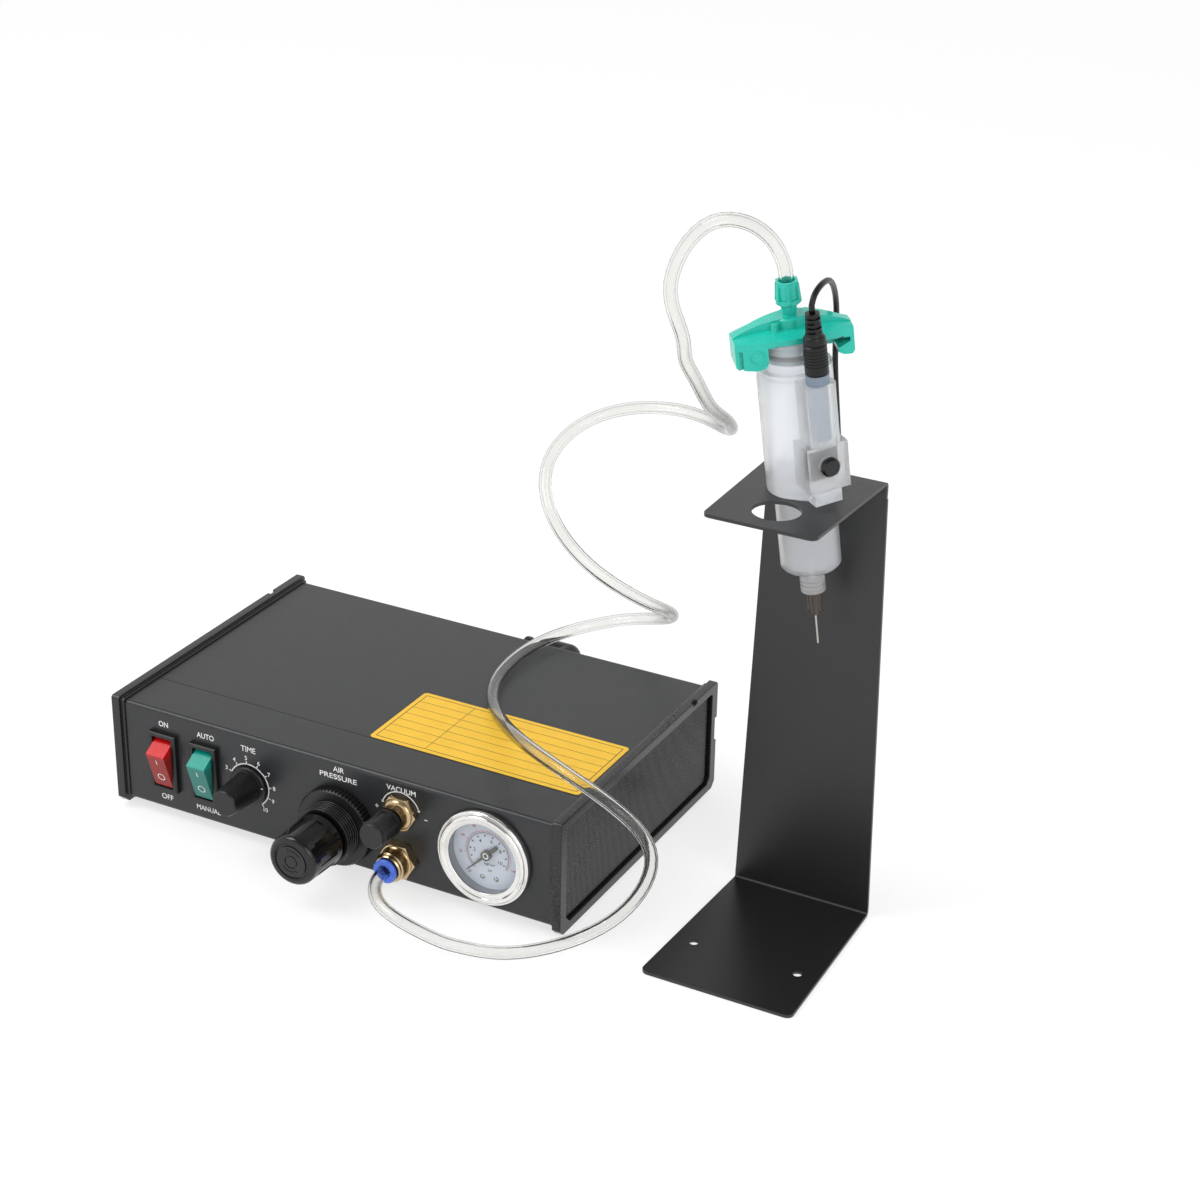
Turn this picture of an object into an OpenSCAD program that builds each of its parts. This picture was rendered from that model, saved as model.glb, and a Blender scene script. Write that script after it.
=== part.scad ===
// Benchtop glue dispenser: timed air controller, syringe stand, syringe with finger switch.
// Millimetres, +Z up, front towards -Y. The origin is on the table, at the middle of the set.

/* [Controller case] */
// Width of the sheet case between its end cheeks
case_w = 227.6; // [224:0.4:232]
// Depth of the sheet case
case_d = 150; // [146:1:152]
// Height of the case top above the table
case_top = 57; // [56:0.5:58]
// Height of the case floor above the table
floor_z = 5; // [4:0.5:6]
// Sheet thickness
sheet = 1.2; // [1:0.1:1.5]
// Depth of an end cheek
cheek_d = 154.4; // [153:0.2:156]
// Thickness of an end cheek
cheek_t = 6.2; // [5:0.2:8]
// Height of the top edge of a cheek
cheek_top = 59.3; // [58.5:0.1:60]

/* [Front panel] */
// Height and width of a switch frame
switch_h = 30; // [29:0.5:31]
switch_w = 15; // [14.4:0.1:16]
// Half of the angle that a rocker swings through
rocker_tilt = 18; // [12:1:18]
// Radius of the timer knob at its back
time_knob_r = 7.6; // [7:0.1:8]
// Radius of the regulator knob
regulator_knob_r = 12.6; // [12:0.1:13]
// Radius of the toothed ring nut of the regulator
ring_nut_r = 19.2; // [18.5:0.1:20]
// Radius of the vacuum knob
vacuum_knob_r = 6.6; // [6:0.1:7]
// Radius of the gauge bezel
bezel_r = 23.2; // [22.8:0.1:24]

/* [Stand] */
// Thickness of the bent strip
strip = 1.5; // [1:0.1:2]
// Height of the top plate above the table
stand_h = 208.6; // [200:0.2:215]
// Width of the foot at its front
foot_w = 71; // [68:0.5:74]
// Depth of the foot
foot_d = 90.7; // [88:0.1:94]
// Depth of the top plate
plate_d = 70.4; // [68:0.2:72]
// Diameter of the hole that holds the syringe
hole_d = 28; // [27.6:0.1:29]
// Diameter of the free hole in front of it
spare_hole_d = 20.5; // [18:0.5:22]

/* [Syringe] */
// Outer radius of the barrel
barrel_r = 12.7; // [12.5:0.1:12.8]
// Outer radius of the clear sleeve round the barrel
sleeve_r = 15.4; // [15.2:0.1:15.6]
// Length of the clear sleeve
sleeve_h = 54; // [52:0.5:54]
// Half length of the cap, tip to middle
cap_half = 24; // [23.4:0.2:24.6]

/* [Cords] */
// Diameter of the air tube
tube_d = 6; // [5.6:0.1:6]
// Diameter of the trigger cable
cable_d = 2.5; // [2.2:0.1:2.5]

/* [Hidden] */
$fn = 48;
eps = 0.01;

// The controller stands left of the origin, the stand right of it
controller_x = -56;
controller_y = 8;
stand_x = 140.5;

// Case planes, from the middle of the controller
panel_y = -case_d / 2;
back_y = case_d / 2;
half_w = case_w / 2;
lip_y = -48.5;
seam = 0.3;
bend_r = 2;

// Places on the front panel: [x, z]
power_at = [-92, 31];
mode_at = [-69, 31];
time_at = [-44.5, 31.5];
regulator_at = [4.2, 25.3];
vacuum_at = [37.5, 41];
outlet_at = [37, 17];
gauge_at = [81.3, 31.5];

// Places on the back panel: [x, z]
mains_at = [-75, 31];
fuse_at = [-38, 33];
trigger_at = [-10, 40];
inlet_at = [31, 43.5];
silencer_at = [47, 24];

// Hole radii that a bush or a barrel passes through
bush_hole_r = 3.7;
regulator_hole_r = 14.5;
vacuum_hole_r = 6.1;
outlet_hole_r = 6.1;
gauge_hole_r = 20.8;
trigger_hole_r = 5.6;
inlet_hole_r = 6.1;
silencer_hole_r = 4.6;
fuse_hole_r = 6.2;

// Rubber feet and case screws, from the middle of the controller
foot_places = [[-98, -60], [98, -60], [-98, 60], [98, 60]];
foot_screw_r = 1.6;
screw_places = [-104, -8, 104];
screw_z = floor_z + 7.5;
case_screw_r = 1.5;

// Body of a switch behind the panel, and of the mains inlet
switch_body_w = 13.2;
switch_body_h = 27.8;
mains_w = 27.4;
mains_h = 19.8;

// A rocker in its frame: half width, pivot behind the panel, pin and its bore
rocker_half = 5;
rocker_pivot = -4.3;
pin_r = 1.5;
pin_clear = 0.05;

// Shafts and sleeves of the knobs and fittings, and the clearance that a shaft turns with
timer_shaft_r = 3;
screw_r = 4;
drive_flats = 9;
needle_stem_r = 2;
collar_sleeve_r = 4.2;
pointer_arbor_r = 0.9;
dial_z = -2.2;
shaft_clear = 0.05;

// Trigger plugs
plug_pin_r = 1.75;
plug_body_r = 4.8;
plug_body_h = 16.7;
relief_h = 8.9;

// Stand geometry, from the front of the set
fold_y = 18.1;
stand_front_y = fold_y - foot_d;
stand_lean = 0.65;
back_low_w = 65;
back_top_w = 54;
plate_front_w = 50;
strip_bend = 2.5;
base_holes_y = -41.9;
base_hole_pitch = 49.5;
base_hole_r = 2.1;
spare_hole_y = -32.2;
syringe_hole_y = -4.2;

// The syringe leans in its hole; heights on it are counted from the top face of the stand
syringe_base = [140.1, -4.6, 211.3];
syringe_turn = [6.4, -5.2, 0];
bore_r = 11.4;
flange_z = 62.8;
flange_top = 67;
flange_r = 15;
wing_r = 21;
wing_half = 5;
wing_z = [63.2, 65.4];
needle_tip = -76;
needle_r = 0.5;

// Adapter on top of the barrel, with its two hooks along the wing direction
wing_turn = 35;
cap_low = 67.1;
cap_high = 71.4;
crown_r = 95;
plan_r = 45;
plan_half = 13.4;
stop_x = -11.5;
stop_y = 5.4;
hub_top = 75;
neck_top = 82;
nut_top = 89.3;
neck_r = 3.4;
air_bore_r = 1.5;

// Finger switch on the sleeve: distances are from the syringe axis
trigger_turn = -40;
trigger_r = 21.5;
button_z = 18;
housing_back = 16.9;
housing_wall = 1.5;
lower_front = 25.5;
button_hole_r = 4.15;
jack_top = 57;

// The air inlet turns a corner behind the panel
elbow_out = 16;
elbow_r = 6.5;
elbow_reach = 24.3;

// Route of the air tube, from the outlet collar to the tube nut
tube_route = [
    [-19, -81, 17], [-19, -90, 17], [-8, -106, 15], [25, -104, 7], [29, -100, 5],
    [49, -94, 2], [73, -74, 5], [94, -60, 20], [107, -57, 51], [93, -69, 75],
    [65, -68, 85], [38, -54, 84], [19, -34, 76], [0, -9, 64], [-18, 11, 60],
    [-30, 35, 60], [-32, 67, 60], [-25, 94, 60], [1, 113, 66], [29, 104, 75],
    [42, 82, 91], [41, 56, 106], [22, 37, 125], [-1, 37, 144], [-18, 55, 163],
    [-14, 83, 177], [9, 102, 184], [41, 102, 186], [63, 84, 188], [78, 61, 199],
    [85, 35, 215], [86, 17, 225], [88, -1, 245], [85, -9, 256], [89, -14, 268],
    [80, -22, 290], [97, -20, 323], [121, -17, 322], [131.2, -15.7, 309], [132, -14.6, 300]
];
tube_split = 27;

// Route of the trigger cable, from the strain relief to the coil behind the stand
cable_route = [
    [149, -28, 296], [149, -26.5, 300], [149, -19.5, 302.5], [148, -10, 301.5], [146, -1, 297],
    [143, 10.5, 288.5], [141, 18, 275], [140.5, 19, 261], [141, 21, 245], [142, 24, 226],
    [143, 25, 206], [143, 25, 180], [143, 25, 145], [143, 24, 110], [143, 22, 75],
    [144, 21, 45], [144.5, 21, 24], [144.5, 23, 12], [144.5, 29, 7], [144.5, 36, 6.2]
];
cable_split = 9;

// Route from the coil to the loose plug, which lies on the table beside the coil
tail_route = [
    [144.5, 39, 1.3], [144.5, 46, 1.3], [144.5, 54, 1.6], [143, 61, 2.6], [139, 65.4, 4],
    [134, 66, 4.85]
];
plug_rest = [132, 66, 4.85];

// The coil lies behind the stand
coil_at = [128, 38];
coil_mid_r = 14;
coil_layers = 3;

// Points on an arc, as [x, y]
function arc(c, r, a0, a1, n = 6) =
    [for (i = [0 : n]) let (a = a0 + (a1 - a0) * i / n) c + r * [cos(a), sin(a)]];
function turned(p, a) = [p.x * cos(a) - p.y * sin(a), p.x * sin(a) + p.y * cos(a)];
function mirrored(points) = concat(points, [for (i = [len(points) - 1 : -1 : 0])
    [-points[i].x, points[i].y]]);

// A point of the syringe, turned about its axis, in the frame of the whole set
function about_x(p, a) = [p.x, p.y * cos(a) - p.z * sin(a), p.y * sin(a) + p.z * cos(a)];
function about_y(p, a) = [p.x * cos(a) + p.z * sin(a), p.y, p.z * cos(a) - p.x * sin(a)];
function about_z(p, a) = [p.x * cos(a) - p.y * sin(a), p.x * sin(a) + p.y * cos(a), p.z];
function syringe_point(p, turn = 0) =
    syringe_base + about_y(about_x(about_z(p, turn), syringe_turn.x), syringe_turn.y);

// Uniform cubic B-spline through the neighbourhood of the control points
function blend_point(c, i, t) =
    (pow(1 - t, 3) * c[i] + (3 * pow(t, 3) - 6 * t * t + 4) * c[i + 1]
    + (-3 * pow(t, 3) + 3 * t * t + 3 * t + 1) * c[i + 2] + pow(t, 3) * c[i + 3]) / 6;
function with_ends(c) =
    let (n = len(c) - 1) concat([2 * c[0] - c[1]], c, [2 * c[n] - c[n - 1]]);
function smooth(c, steps) =
    let (p = with_ends(c), n = len(c) - 1) concat(
        [for (i = [0 : n - 1]) for (k = [0 : steps - 1]) blend_point(p, i, k / steps)],
        [blend_point(p, n - 1, 1)]);

// Ring directions that turn as little as possible along a path
function unit(v) = v / norm(v);
function tangents(p) = [for (i = [0 : len(p) - 1])
    unit(p[min(i + 1, len(p) - 1)] - p[max(i - 1, 0)])];
function square_to(u, t) = unit(u - (u * t) * t);
function ring_axes(t, i, u) =
    i >= len(t) ? [] : let (v = square_to(u, t[i])) concat([v], ring_axes(t, i + 1, v));

// The stretch of a cord between two points of its path
module swept_cord(path, r, sides, from, to) {
    t = tangents(path);
    u = ring_axes(t, 0, abs(t[0].z) < 0.9 ? [0, 0, 1] : [1, 0, 0]);
    points = [for (i = [from : to]) for (k = [0 : sides - 1])
        let (a = 360 * k / sides) path[i] + r * (cos(a) * u[i] + sin(a) * cross(t[i], u[i]))];
    last = (to - from) * sides;
    walls = [for (i = [0 : to - from - 1]) for (k = [0 : sides - 1])
        let (a = i * sides + k, b = i * sides + (k + 1) % sides)
        for (f = [[a, b, b + sides], [a, b + sides, a + sides]]) [f[2], f[1], f[0]]];
    polyhedron(points, concat([[for (k = [0 : sides - 1]) k]], walls,
        [[for (k = [sides - 1 : -1 : 0]) last + k]]), convexity = 6);
}

// Frames of reference
module at_controller() {
    translate([controller_x, controller_y, 0]) children();
}

// On the front panel: X right, Y up, Z out of the panel
module on_panel(p) {
    at_controller() translate([p.x, panel_y, p.y]) rotate([90, 0, 0]) children();
}

// On the back panel: X left, Y up, Z out of the panel
module on_back(p) {
    at_controller() translate([p.x, back_y, p.y]) rotate([90, 0, 180]) children();
}

// On the syringe: Z along its axis, from the top face of the stand
module on_syringe() {
    translate(syringe_base) rotate(syringe_turn) children();
}

// On the finger switch: X away from the syringe axis
module on_trigger() {
    on_syringe() rotate([0, 0, trigger_turn]) children();
}

module disc(r, z0, z1) {
    translate([0, 0, z0]) cylinder(r = r, h = z1 - z0);
}

module ring(r_in, r_out, z0, z1) {
    difference() {
        disc(r_out, z0, z1);
        disc(r_in, z0 - 1, z1 + 1);
    }
}

module block(low, high) {
    translate(low) cube(high - low);
}

// A profile of [x, y] points swept along X; its x becomes Y and its y becomes Z
module across_x(w) {
    rotate([90, 0, 90]) linear_extrude(w, center = true) children();
}

module around(n) {
    for (i = [0 : n - 1]) rotate([0, 0, 360 * i / n]) children();
}

module hexagon(flats, z0, z1) {
    translate([0, 0, z0]) cylinder(r = flats / 2 / cos(30), h = z1 - z0, $fn = 6);
}

// A hexagon with its corners turned down at both faces
module nut_blank(flats, z0, z1) {
    corner = flats / 2 / cos(30);
    chamfer = corner - flats / 2;
    intersection() {
        hexagon(flats, z0, z1);
        rotate_extrude() polygon([
            [0, z0], [flats / 2, z0], [corner, z0 + chamfer / 2],
            [corner, z1 - chamfer / 2], [flats / 2, z1], [0, z1]
        ]);
    }
}

// Case
module chassis_profile() {
    low = floor_z;
    high = case_top;
    inner_r = bend_r - sheet;
    flange_h = 11;
    polygon(concat(
        [[back_y - sheet, low]],
        arc([panel_y + bend_r, low + bend_r], bend_r, 270, 180),
        arc([panel_y + bend_r, high - bend_r], bend_r, 180, 90),
        [[lip_y, high], [lip_y, high - sheet]],
        arc([panel_y + bend_r, high - bend_r], inner_r, 90, 180),
        arc([panel_y + bend_r, low + bend_r], inner_r, 180, 270),
        [[back_y - 2 * sheet, low + sheet], [back_y - 2 * sheet, low + flange_h],
         [back_y - sheet, low + flange_h]]
    ));
}

module panel_hole(p, r) {
    translate([p.x, panel_y + 5, p.y]) rotate([90, 0, 0]) cylinder(r = r, h = 10);
}

module switch_hole(p) {
    block([p.x - switch_body_w / 2, panel_y - 1, p.y - switch_body_h / 2],
        [p.x + switch_body_w / 2, panel_y + sheet + 1, p.y + switch_body_h / 2]);
}

module chassis() {
    color("#2b2c2e") at_controller() difference() {
        across_x(case_w) chassis_profile();
        switch_hole(power_at);
        switch_hole(mode_at);
        panel_hole(time_at, bush_hole_r);
        panel_hole(regulator_at, regulator_hole_r);
        panel_hole(vacuum_at, vacuum_hole_r);
        panel_hole(outlet_at, outlet_hole_r);
        panel_hole(gauge_at, gauge_hole_r);
        for (p = foot_places) translate([p.x, p.y, floor_z - 1]) cylinder(r = foot_screw_r, h = 4);
        for (x = screw_places) translate([x, back_y - 5, screw_z]) rotate([-90, 0, 0])
            cylinder(r = case_screw_r, h = 10);
    }
}

module rear_cover_profile() {
    high = case_top;
    inner_r = bend_r - sheet;
    tongue_front = lip_y - 7.5;
    tongue_back = lip_y + 5;
    polygon(concat(
        [[lip_y + seam, high]],
        arc([back_y - bend_r, high - bend_r], bend_r, 90, 0),
        [[back_y, floor_z], [back_y - sheet, floor_z]],
        arc([back_y - bend_r, high - bend_r], inner_r, 0, 90),
        [[tongue_back, high - sheet], [tongue_back, high - 2 * sheet],
         [tongue_front, high - 2 * sheet], [tongue_front, high - sheet],
         [lip_y + seam, high - sheet]]
    ));
}

module back_hole(p, r) {
    translate([p.x, back_y - 5, p.y]) rotate([-90, 0, 0]) cylinder(r = r, h = 10);
}

module rear_cover() {
    vent_count = 9;
    vent_pitch = 5;
    color("#2b2c2e") at_controller() difference() {
        across_x(case_w) rear_cover_profile();
        block([mains_at.x - mains_w / 2, back_y - 3, mains_at.y - mains_h / 2],
            [mains_at.x + mains_w / 2, back_y + 3, mains_at.y + mains_h / 2]);
        back_hole(fuse_at, fuse_hole_r);
        back_hole(inlet_at, inlet_hole_r);
        back_hole(silencer_at, silencer_hole_r);
        back_hole(trigger_at, trigger_hole_r);
        for (x = screw_places) translate([x, back_y - 5, screw_z]) rotate([-90, 0, 0])
            cylinder(r = case_screw_r, h = 10);
        for (i = [0 : vent_count - 1]) block([62 + i * vent_pitch, back_y - 3, 24],
            [64 + i * vent_pitch, back_y + 3, 44]);
    }
}

module cheek_outline(front, back, low, high) {
    cut = 3;
    polygon([
        [front, low + cut], [front + cut, low], [back - cut, low], [back, low + cut],
        [back, high - 1], [back - 1, high], [front + 1, high], [front, high - 1]
    ]);
}

// Moulded end: an outer frame round a sunk field, with a step that locates it in the case
module cheek() {
    low = 2.2;
    step_t = 1.8;
    step_in = 1.4;
    recess = 3;
    field_t = 0.9;
    gap = 1.3;
    rim_front = 5.7;
    rim_low = 4.4;
    notch = 1.7;
    edge = cheek_d / 2;
    front = rim_front - edge;
    field_low = low + rim_low;
    field_high = cheek_top - rim_low;
    difference() {
        union() {
            translate([(step_t + cheek_t) / 2, 0, 0]) across_x(cheek_t - step_t)
                cheek_outline(-edge, edge, low, cheek_top);
            translate([step_t / 2, 0, 0]) across_x(step_t) cheek_outline(
                step_in - edge, edge - step_in, low + step_in, cheek_top - step_in);
        }
        translate([cheek_t, 0, 0]) across_x(2 * recess)
            cheek_outline(front, -front, field_low, field_high);
        block([cheek_t - notch, 50.5, cheek_top - notch], [cheek_t + 1, 54.5, cheek_top + 1]);
        block([cheek_t - notch, edge - notch, 28], [cheek_t + 1, edge + 1, 40]);
    }
    translate([cheek_t - recess + field_t / 2 - eps, 0, 0]) across_x(field_t)
        cheek_outline(front + gap, -front - gap, field_low + gap, field_high - gap);
}

module right_cheek() {
    color("#1f2022") at_controller() translate([half_w, 0, 0]) cheek();
}

module left_cheek() {
    color("#1f2022") at_controller() mirror([1, 0, 0]) translate([half_w, 0, 0]) cheek();
}

module rubber_feet() {
    color("#151515") at_controller() for (p = foot_places) translate(p) difference() {
        union() {
            rotate_extrude() polygon([[0, 0], [6.6, 0], [7.4, 0.8], [8, floor_z], [0, floor_z]]);
            disc(foot_screw_r, floor_z, floor_z + sheet + 2);
        }
        disc(2.6, -1, 1.5);
    }
}

module case_screws() {
    head_r = 2.9;
    color("#b8babd") at_controller() for (x = screw_places) translate([x, back_y, screw_z])
        rotate([-90, 0, 0]) difference() {
            union() {
                rotate_extrude() polygon([[0, 0], [head_r, 0], [head_r, 0.8], [1.8, 1.9], [0, 1.9]]);
                disc(case_screw_r, -6, 0);
            }
            for (a = [0, 90]) rotate([0, 0, a]) block([-1.8, -0.35, 1.1], [1.8, 0.35, 3]);
        }
}

// Rocker switches
module switch_body() {
    frame_out = 2.7;
    depth = 19;
    cavity_half = rocker_half + 0.3;
    window_half = 13.1;
    difference() {
        union() {
            block([-switch_w / 2, -switch_h / 2, 0], [switch_w / 2, switch_h / 2, frame_out]);
            block([-switch_body_w / 2, -switch_body_h / 2, -depth],
                [switch_body_w / 2, switch_body_h / 2, 0]);
            for (y = [-8, 0, 8]) block([-2.4, y - 0.4, -depth - 8], [2.4, y + 0.4, -depth]);
        }
        block([-cavity_half, -window_half, -12], [cavity_half, window_half, frame_out + 1]);
        translate([0, 0, rocker_pivot]) rotate([0, 90, 0])
            cylinder(r = pin_r + pin_clear, h = 2 * cavity_half + 2, center = true);
        for (side = [-1, 1]) translate([side * switch_w / 2, 0, frame_out]) rotate([0, 45, 0])
            cube([0.8, switch_h + 2, 0.8], center = true);
        for (side = [-1, 1]) translate([0, side * switch_h / 2, frame_out]) rotate([45, 0, 0])
            cube([switch_w + 2, 0.8, 0.8], center = true);
    }
}

module rocker() {
    corner = [9.9, 10];
    end = [12.3, 0.5];
    heel = [10.6, -3.2];
    translate([0, 0, rocker_pivot]) rotate([rocker_tilt, 0, 0]) {
        across_x(2 * rocker_half) polygon([
            corner, end, heel, [-heel.x, heel.y], [-end.x, end.y], [-corner.x, corner.y]
        ]);
        rotate([0, 90, 0]) cylinder(r = pin_r, h = 2 * rocker_half + 2.2, center = true);
    }
}

module power_switch_body() {
    color("#1c1c1e") on_panel(power_at) switch_body();
}

module mode_switch_body() {
    color("#1c1c1e") on_panel(mode_at) switch_body();
}

module power_rocker() {
    color("#d8232a") on_panel(power_at) rocker();
}

module mode_rocker() {
    color("#1fae8a") on_panel(mode_at) rocker();
}

// Timer
module timer_potentiometer() {
    can_r = 8.4;
    bush_r = 3.5;
    color("#8f9296") on_panel(time_at) difference() {
        union() {
            disc(can_r, -13, -sheet - 1);
            disc(bush_r, -sheet - 1, 2);
            disc(can_r - 1.5, -sheet - 1, -sheet);
            nut_blank(10, 0, 2);
            for (x = [-5, 0, 5]) block([x - 0.8, -14, -10], [x + 0.8, -can_r + 2, -9.5]);
        }
        disc(timer_shaft_r + shaft_clear, -12, 3);
    }
}

module timer_shaft() {
    color("#c4c6c8") on_panel(time_at) difference() {
        disc(timer_shaft_r, -11.5, 16);
        block([1.6, -4, 6], [4, 4, 17]);
    }
}

module time_knob() {
    skirt_r = 9.6;
    front = 20.5;
    color("#1b1b1c") on_panel(time_at) difference() {
        union() {
            rotate_extrude() polygon([
                [0, 0.6], [skirt_r - 0.2, 0.6], [skirt_r, 0.9], [skirt_r, 1.7], [skirt_r - 0.5, 2.2],
                [time_knob_r, 2.2], [time_knob_r - 1.1, front - 0.9], [time_knob_r - 1.7, front],
                [0, front]
            ]);
        }
        disc(6.3, 0, 2.6);
        difference() {
            disc(timer_shaft_r, 0, 16);
            block([1.6, -4, 6], [4, 4, 17]);
        }
    }
}

// Pressure regulator
module regulator_body() {
    bonnet_r = 14.2;
    neck_r = 10;
    thread_count = 6;
    thread_pitch = 1.5;
    color("#202124") on_panel(regulator_at) difference() {
        union() {
            disc(bonnet_r, -sheet, 14.6);
            disc(17.5, -22, -sheet);
            disc(6, -26, -22);
            for (a = [0, 180]) rotate([0, 0, a]) block([0, -8, -20], [20, 8, -6]);
            disc(neck_r, 14.6, 26);
        }
        disc(screw_r + shaft_clear, -14, 27);
        disc(2, -27, -13);
        for (i = [0 : thread_count - 1]) translate([0, 0, 6 + i * thread_pitch]) rotate_extrude()
            polygon([[bonnet_r - 0.7, 0.5], [bonnet_r + 1, -0.3], [bonnet_r + 1, 1.3]]);
    }
}

module regulator_ring_nut() {
    teeth = 64;
    color("#202124") on_panel(regulator_at) difference() {
        rotate_extrude() polygon([
            [14.3, 0], [ring_nut_r, 0], [ring_nut_r, 4.6], [ring_nut_r - 0.9, 5.5], [14.3, 5.5]
        ]);
        around(teeth) translate([ring_nut_r, 0, -1]) rotate([0, 0, 45])
            cube([1, 1, 16], center = true);
    }
}

module regulator_screw() {
    color("#c9a24a") on_panel(regulator_at) {
        disc(screw_r, -12, 26.3);
        disc(6.4, 26.3, 27.2);
        hexagon(drive_flats, 27.2, 33.4);
    }
}

module regulator_knob() {
    r = regulator_knob_r;
    back = 15.4;
    front = 38.5;
    round_r = 2.4;
    flutes = 10;
    color("#18181a") on_panel(regulator_at) difference() {
        rotate_extrude() polygon(concat(
            [[0, back], [r - 0.4, back], [r + 0.3, back + 1.2], [r, back + 4]],
            arc([r - 0.5 - round_r, front - round_r], round_r, 0, 90),
            [[0, front]]
        ));
        disc(10.4, back - 1, 27.4);
        hexagon(drive_flats + 0.3, 27, 35);
        ring(7.6, 8.3, front - 0.7, front + 1);
        ring(2.8, 3.3, front - 0.5, front + 1);
        around(flutes) block([r - 0.75, -1.9, 20], [r + 2, 1.9, 32.5]);
    }
}

// Vacuum valve
module vacuum_valve_body() {
    color("#b98b45") on_panel(vacuum_at) difference() {
        union() {
            disc(7.4, -16, -sheet);
            disc(6, -sheet, 8.6);
            disc(2.4, -22, -16);
        }
        disc(needle_stem_r + shaft_clear, -10, 9);
        disc(1.2, -23, -9);
        for (z = [5.2, 6.4, 7.6]) ring(5.6, 7, z, z + 0.5);
    }
}

module vacuum_panel_nut() {
    color("#b98b45") on_panel(vacuum_at) difference() {
        union() {
            nut_blank(15.5, 0, 3);
            rotate_extrude() polygon(concat([[0, 2.5]], arc([5.4, 2.5], 2.2, 0, 80), [[0, 4.7]]));
        }
        disc(6.05, -1, 6);
    }
}

module vacuum_needle() {
    color("#c4c6c8") on_panel(vacuum_at) rotate_extrude() polygon([
        [0, -12], [0.6, -10.5], [0.8, -9], [needle_stem_r, -7], [needle_stem_r, 20.4], [0, 20.4]
    ]);
}

module vacuum_knob() {
    r = vacuum_knob_r;
    back = 10.6;
    front = 25;
    color("#1d1d1f") on_panel(vacuum_at) difference() {
        rotate_extrude() polygon([
            [0, back], [r, back], [r + 0.2, back + 1], [r - 0.2, front - 2.6], [r - 0.6, front - 2.4],
            [r - 0.6, front - 0.4], [r - 1, front], [0, front]
        ]);
        disc(needle_stem_r + shaft_clear, back - 1, 20.6);
        around(8) block([r - 0.35, -1.3, back + 2.5], [r + 1, 1.3, front - 3.6]);
    }
}

// Air outlet
module outlet_fitting() {
    color("#b98b45") on_panel(outlet_at) difference() {
        union() {
            nut_blank(16.5, 0, 4.2);
            rotate_extrude() polygon([
                [0, 4], [8, 4], [7.3, 4.7], [7.3, 9.4], [6.7, 9.9], [6.7, 10.9], [6.2, 11.6],
                [0, 11.6]
            ]);
            disc(6, -12, 0);
            disc(3.4, -19, -12);
        }
        disc(2, -20, 12);
        disc(tube_d / 2 + 0.15, 3, 12);
        disc(collar_sleeve_r + 0.2, 6, 12);
        for (i = [0 : 4]) ring(7.05, 8, 6 + i * 0.65, 6.3 + i * 0.65);
    }
}

module outlet_nut() {
    color("#b98b45") on_panel(outlet_at) difference() {
        nut_blank(16, -4.4, -sheet);
        disc(6.05, -6, 0);
    }
}

module release_collar() {
    color("#2f62d8") on_panel(outlet_at) difference() {
        union() {
            rotate_extrude() polygon([
                [0, 12.3], [5.4, 12.3], [5.8, 12.7], [5.8, 13.6], [5.3, 14.1], [0, 14.1]
            ]);
            disc(collar_sleeve_r, 7, 12.3);
        }
        disc(tube_d / 2 + 0.3, 6, 15);
    }
}

// Gauge
module gauge_case() {
    color("#202124") on_panel(gauge_at) difference() {
        union() {
            disc(20.5, -24, 0);
            disc(22.2, 0, 0.8);
            disc(5, -36, -24);
        }
        disc(19.4, dial_z - 2, 2);
        disc(pointer_arbor_r + shaft_clear, -12, 0);
        disc(1.5, -37, -30);
    }
}

module gauge_bezel() {
    r = bezel_r;
    crest = 4.9;
    color("#d9dadb") on_panel(gauge_at) rotate_extrude() polygon(concat(
        [[22.3, 0], [r, 0]],
        arc([r - 1.3, crest - 2.1], 1.3, 0, 80),
        [[r - 1.5, crest - 1], [r - 1.9, crest - 1]],
        arc([r - 2.8, crest - 0.8], 0.8, 30, 150),
        [[19.4, 3.9], [19.4, 3.4], [22.3, 3.4]]
    ));
}

module gauge_lens() {
    color([0.85, 0.92, 0.95, 0.4]) on_panel(gauge_at) union() {
        disc(22.2, 2.2, 3.4);
        ring(21, 22.2, 0.8, 2.2);
    }
}

module gauge_dial() {
    color("#dfe6ee") on_panel(gauge_at) difference() {
        disc(19.3, dial_z - 2, dial_z);
        disc(pointer_arbor_r + shaft_clear, dial_z - 3, 0);
    }
}

module gauge_pointer() {
    tail = 6.6;
    tip = 14.5;
    color("#161616") on_panel(gauge_at) {
        disc(pointer_arbor_r, -11.5, dial_z + 2.4);
        translate([0, 0, dial_z + 1]) rotate([0, 0, 225]) linear_extrude(0.5) {
            polygon([[-tail, -1], [-tail, 1], [0, 0.8], [tip, 0.15], [tip, -0.15], [0, -0.8]]);
            translate([-tail, 0]) circle(1);
        }
        ring(1.7, 2.4, dial_z + 0.8, dial_z + 2.6);
        disc(2.4, dial_z + 0.8, dial_z + 2.2);
    }
}

// Inside the case
module power_supply() {
    color("#3f6f4f") at_controller() {
        for (x = [-94, -56], y = [2, 62]) translate([x, y, 0]) disc(2.5, floor_z + sheet, 11);
        block([-105, -3, 11], [-51, 67, 12.6]);
        block([-100, 8, 12.6], [-70, 42, 38]);
        translate([-60, 14, 0]) disc(6, 12.6, 32);
        translate([-60, 32, 0]) disc(6, 12.6, 32);
        block([-98, 44.5, 12.6], [-58, 53, 24]);
    }
}

module timer_board() {
    color("#2f6a48") at_controller() {
        for (x = [-100, -40], y = [-42, -16]) translate([x, y, 0]) disc(2.2, floor_z + sheet, 10);
        block([-105, -46, 10], [-34, -11, 11.6]);
        block([-90, -38, 11.6], [-72, -30, 15]);
        block([-60, -30, 11.6], [-46, -18, 22]);
        translate([-80, -20, 0]) disc(4, 11.6, 23);
    }
}

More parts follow.
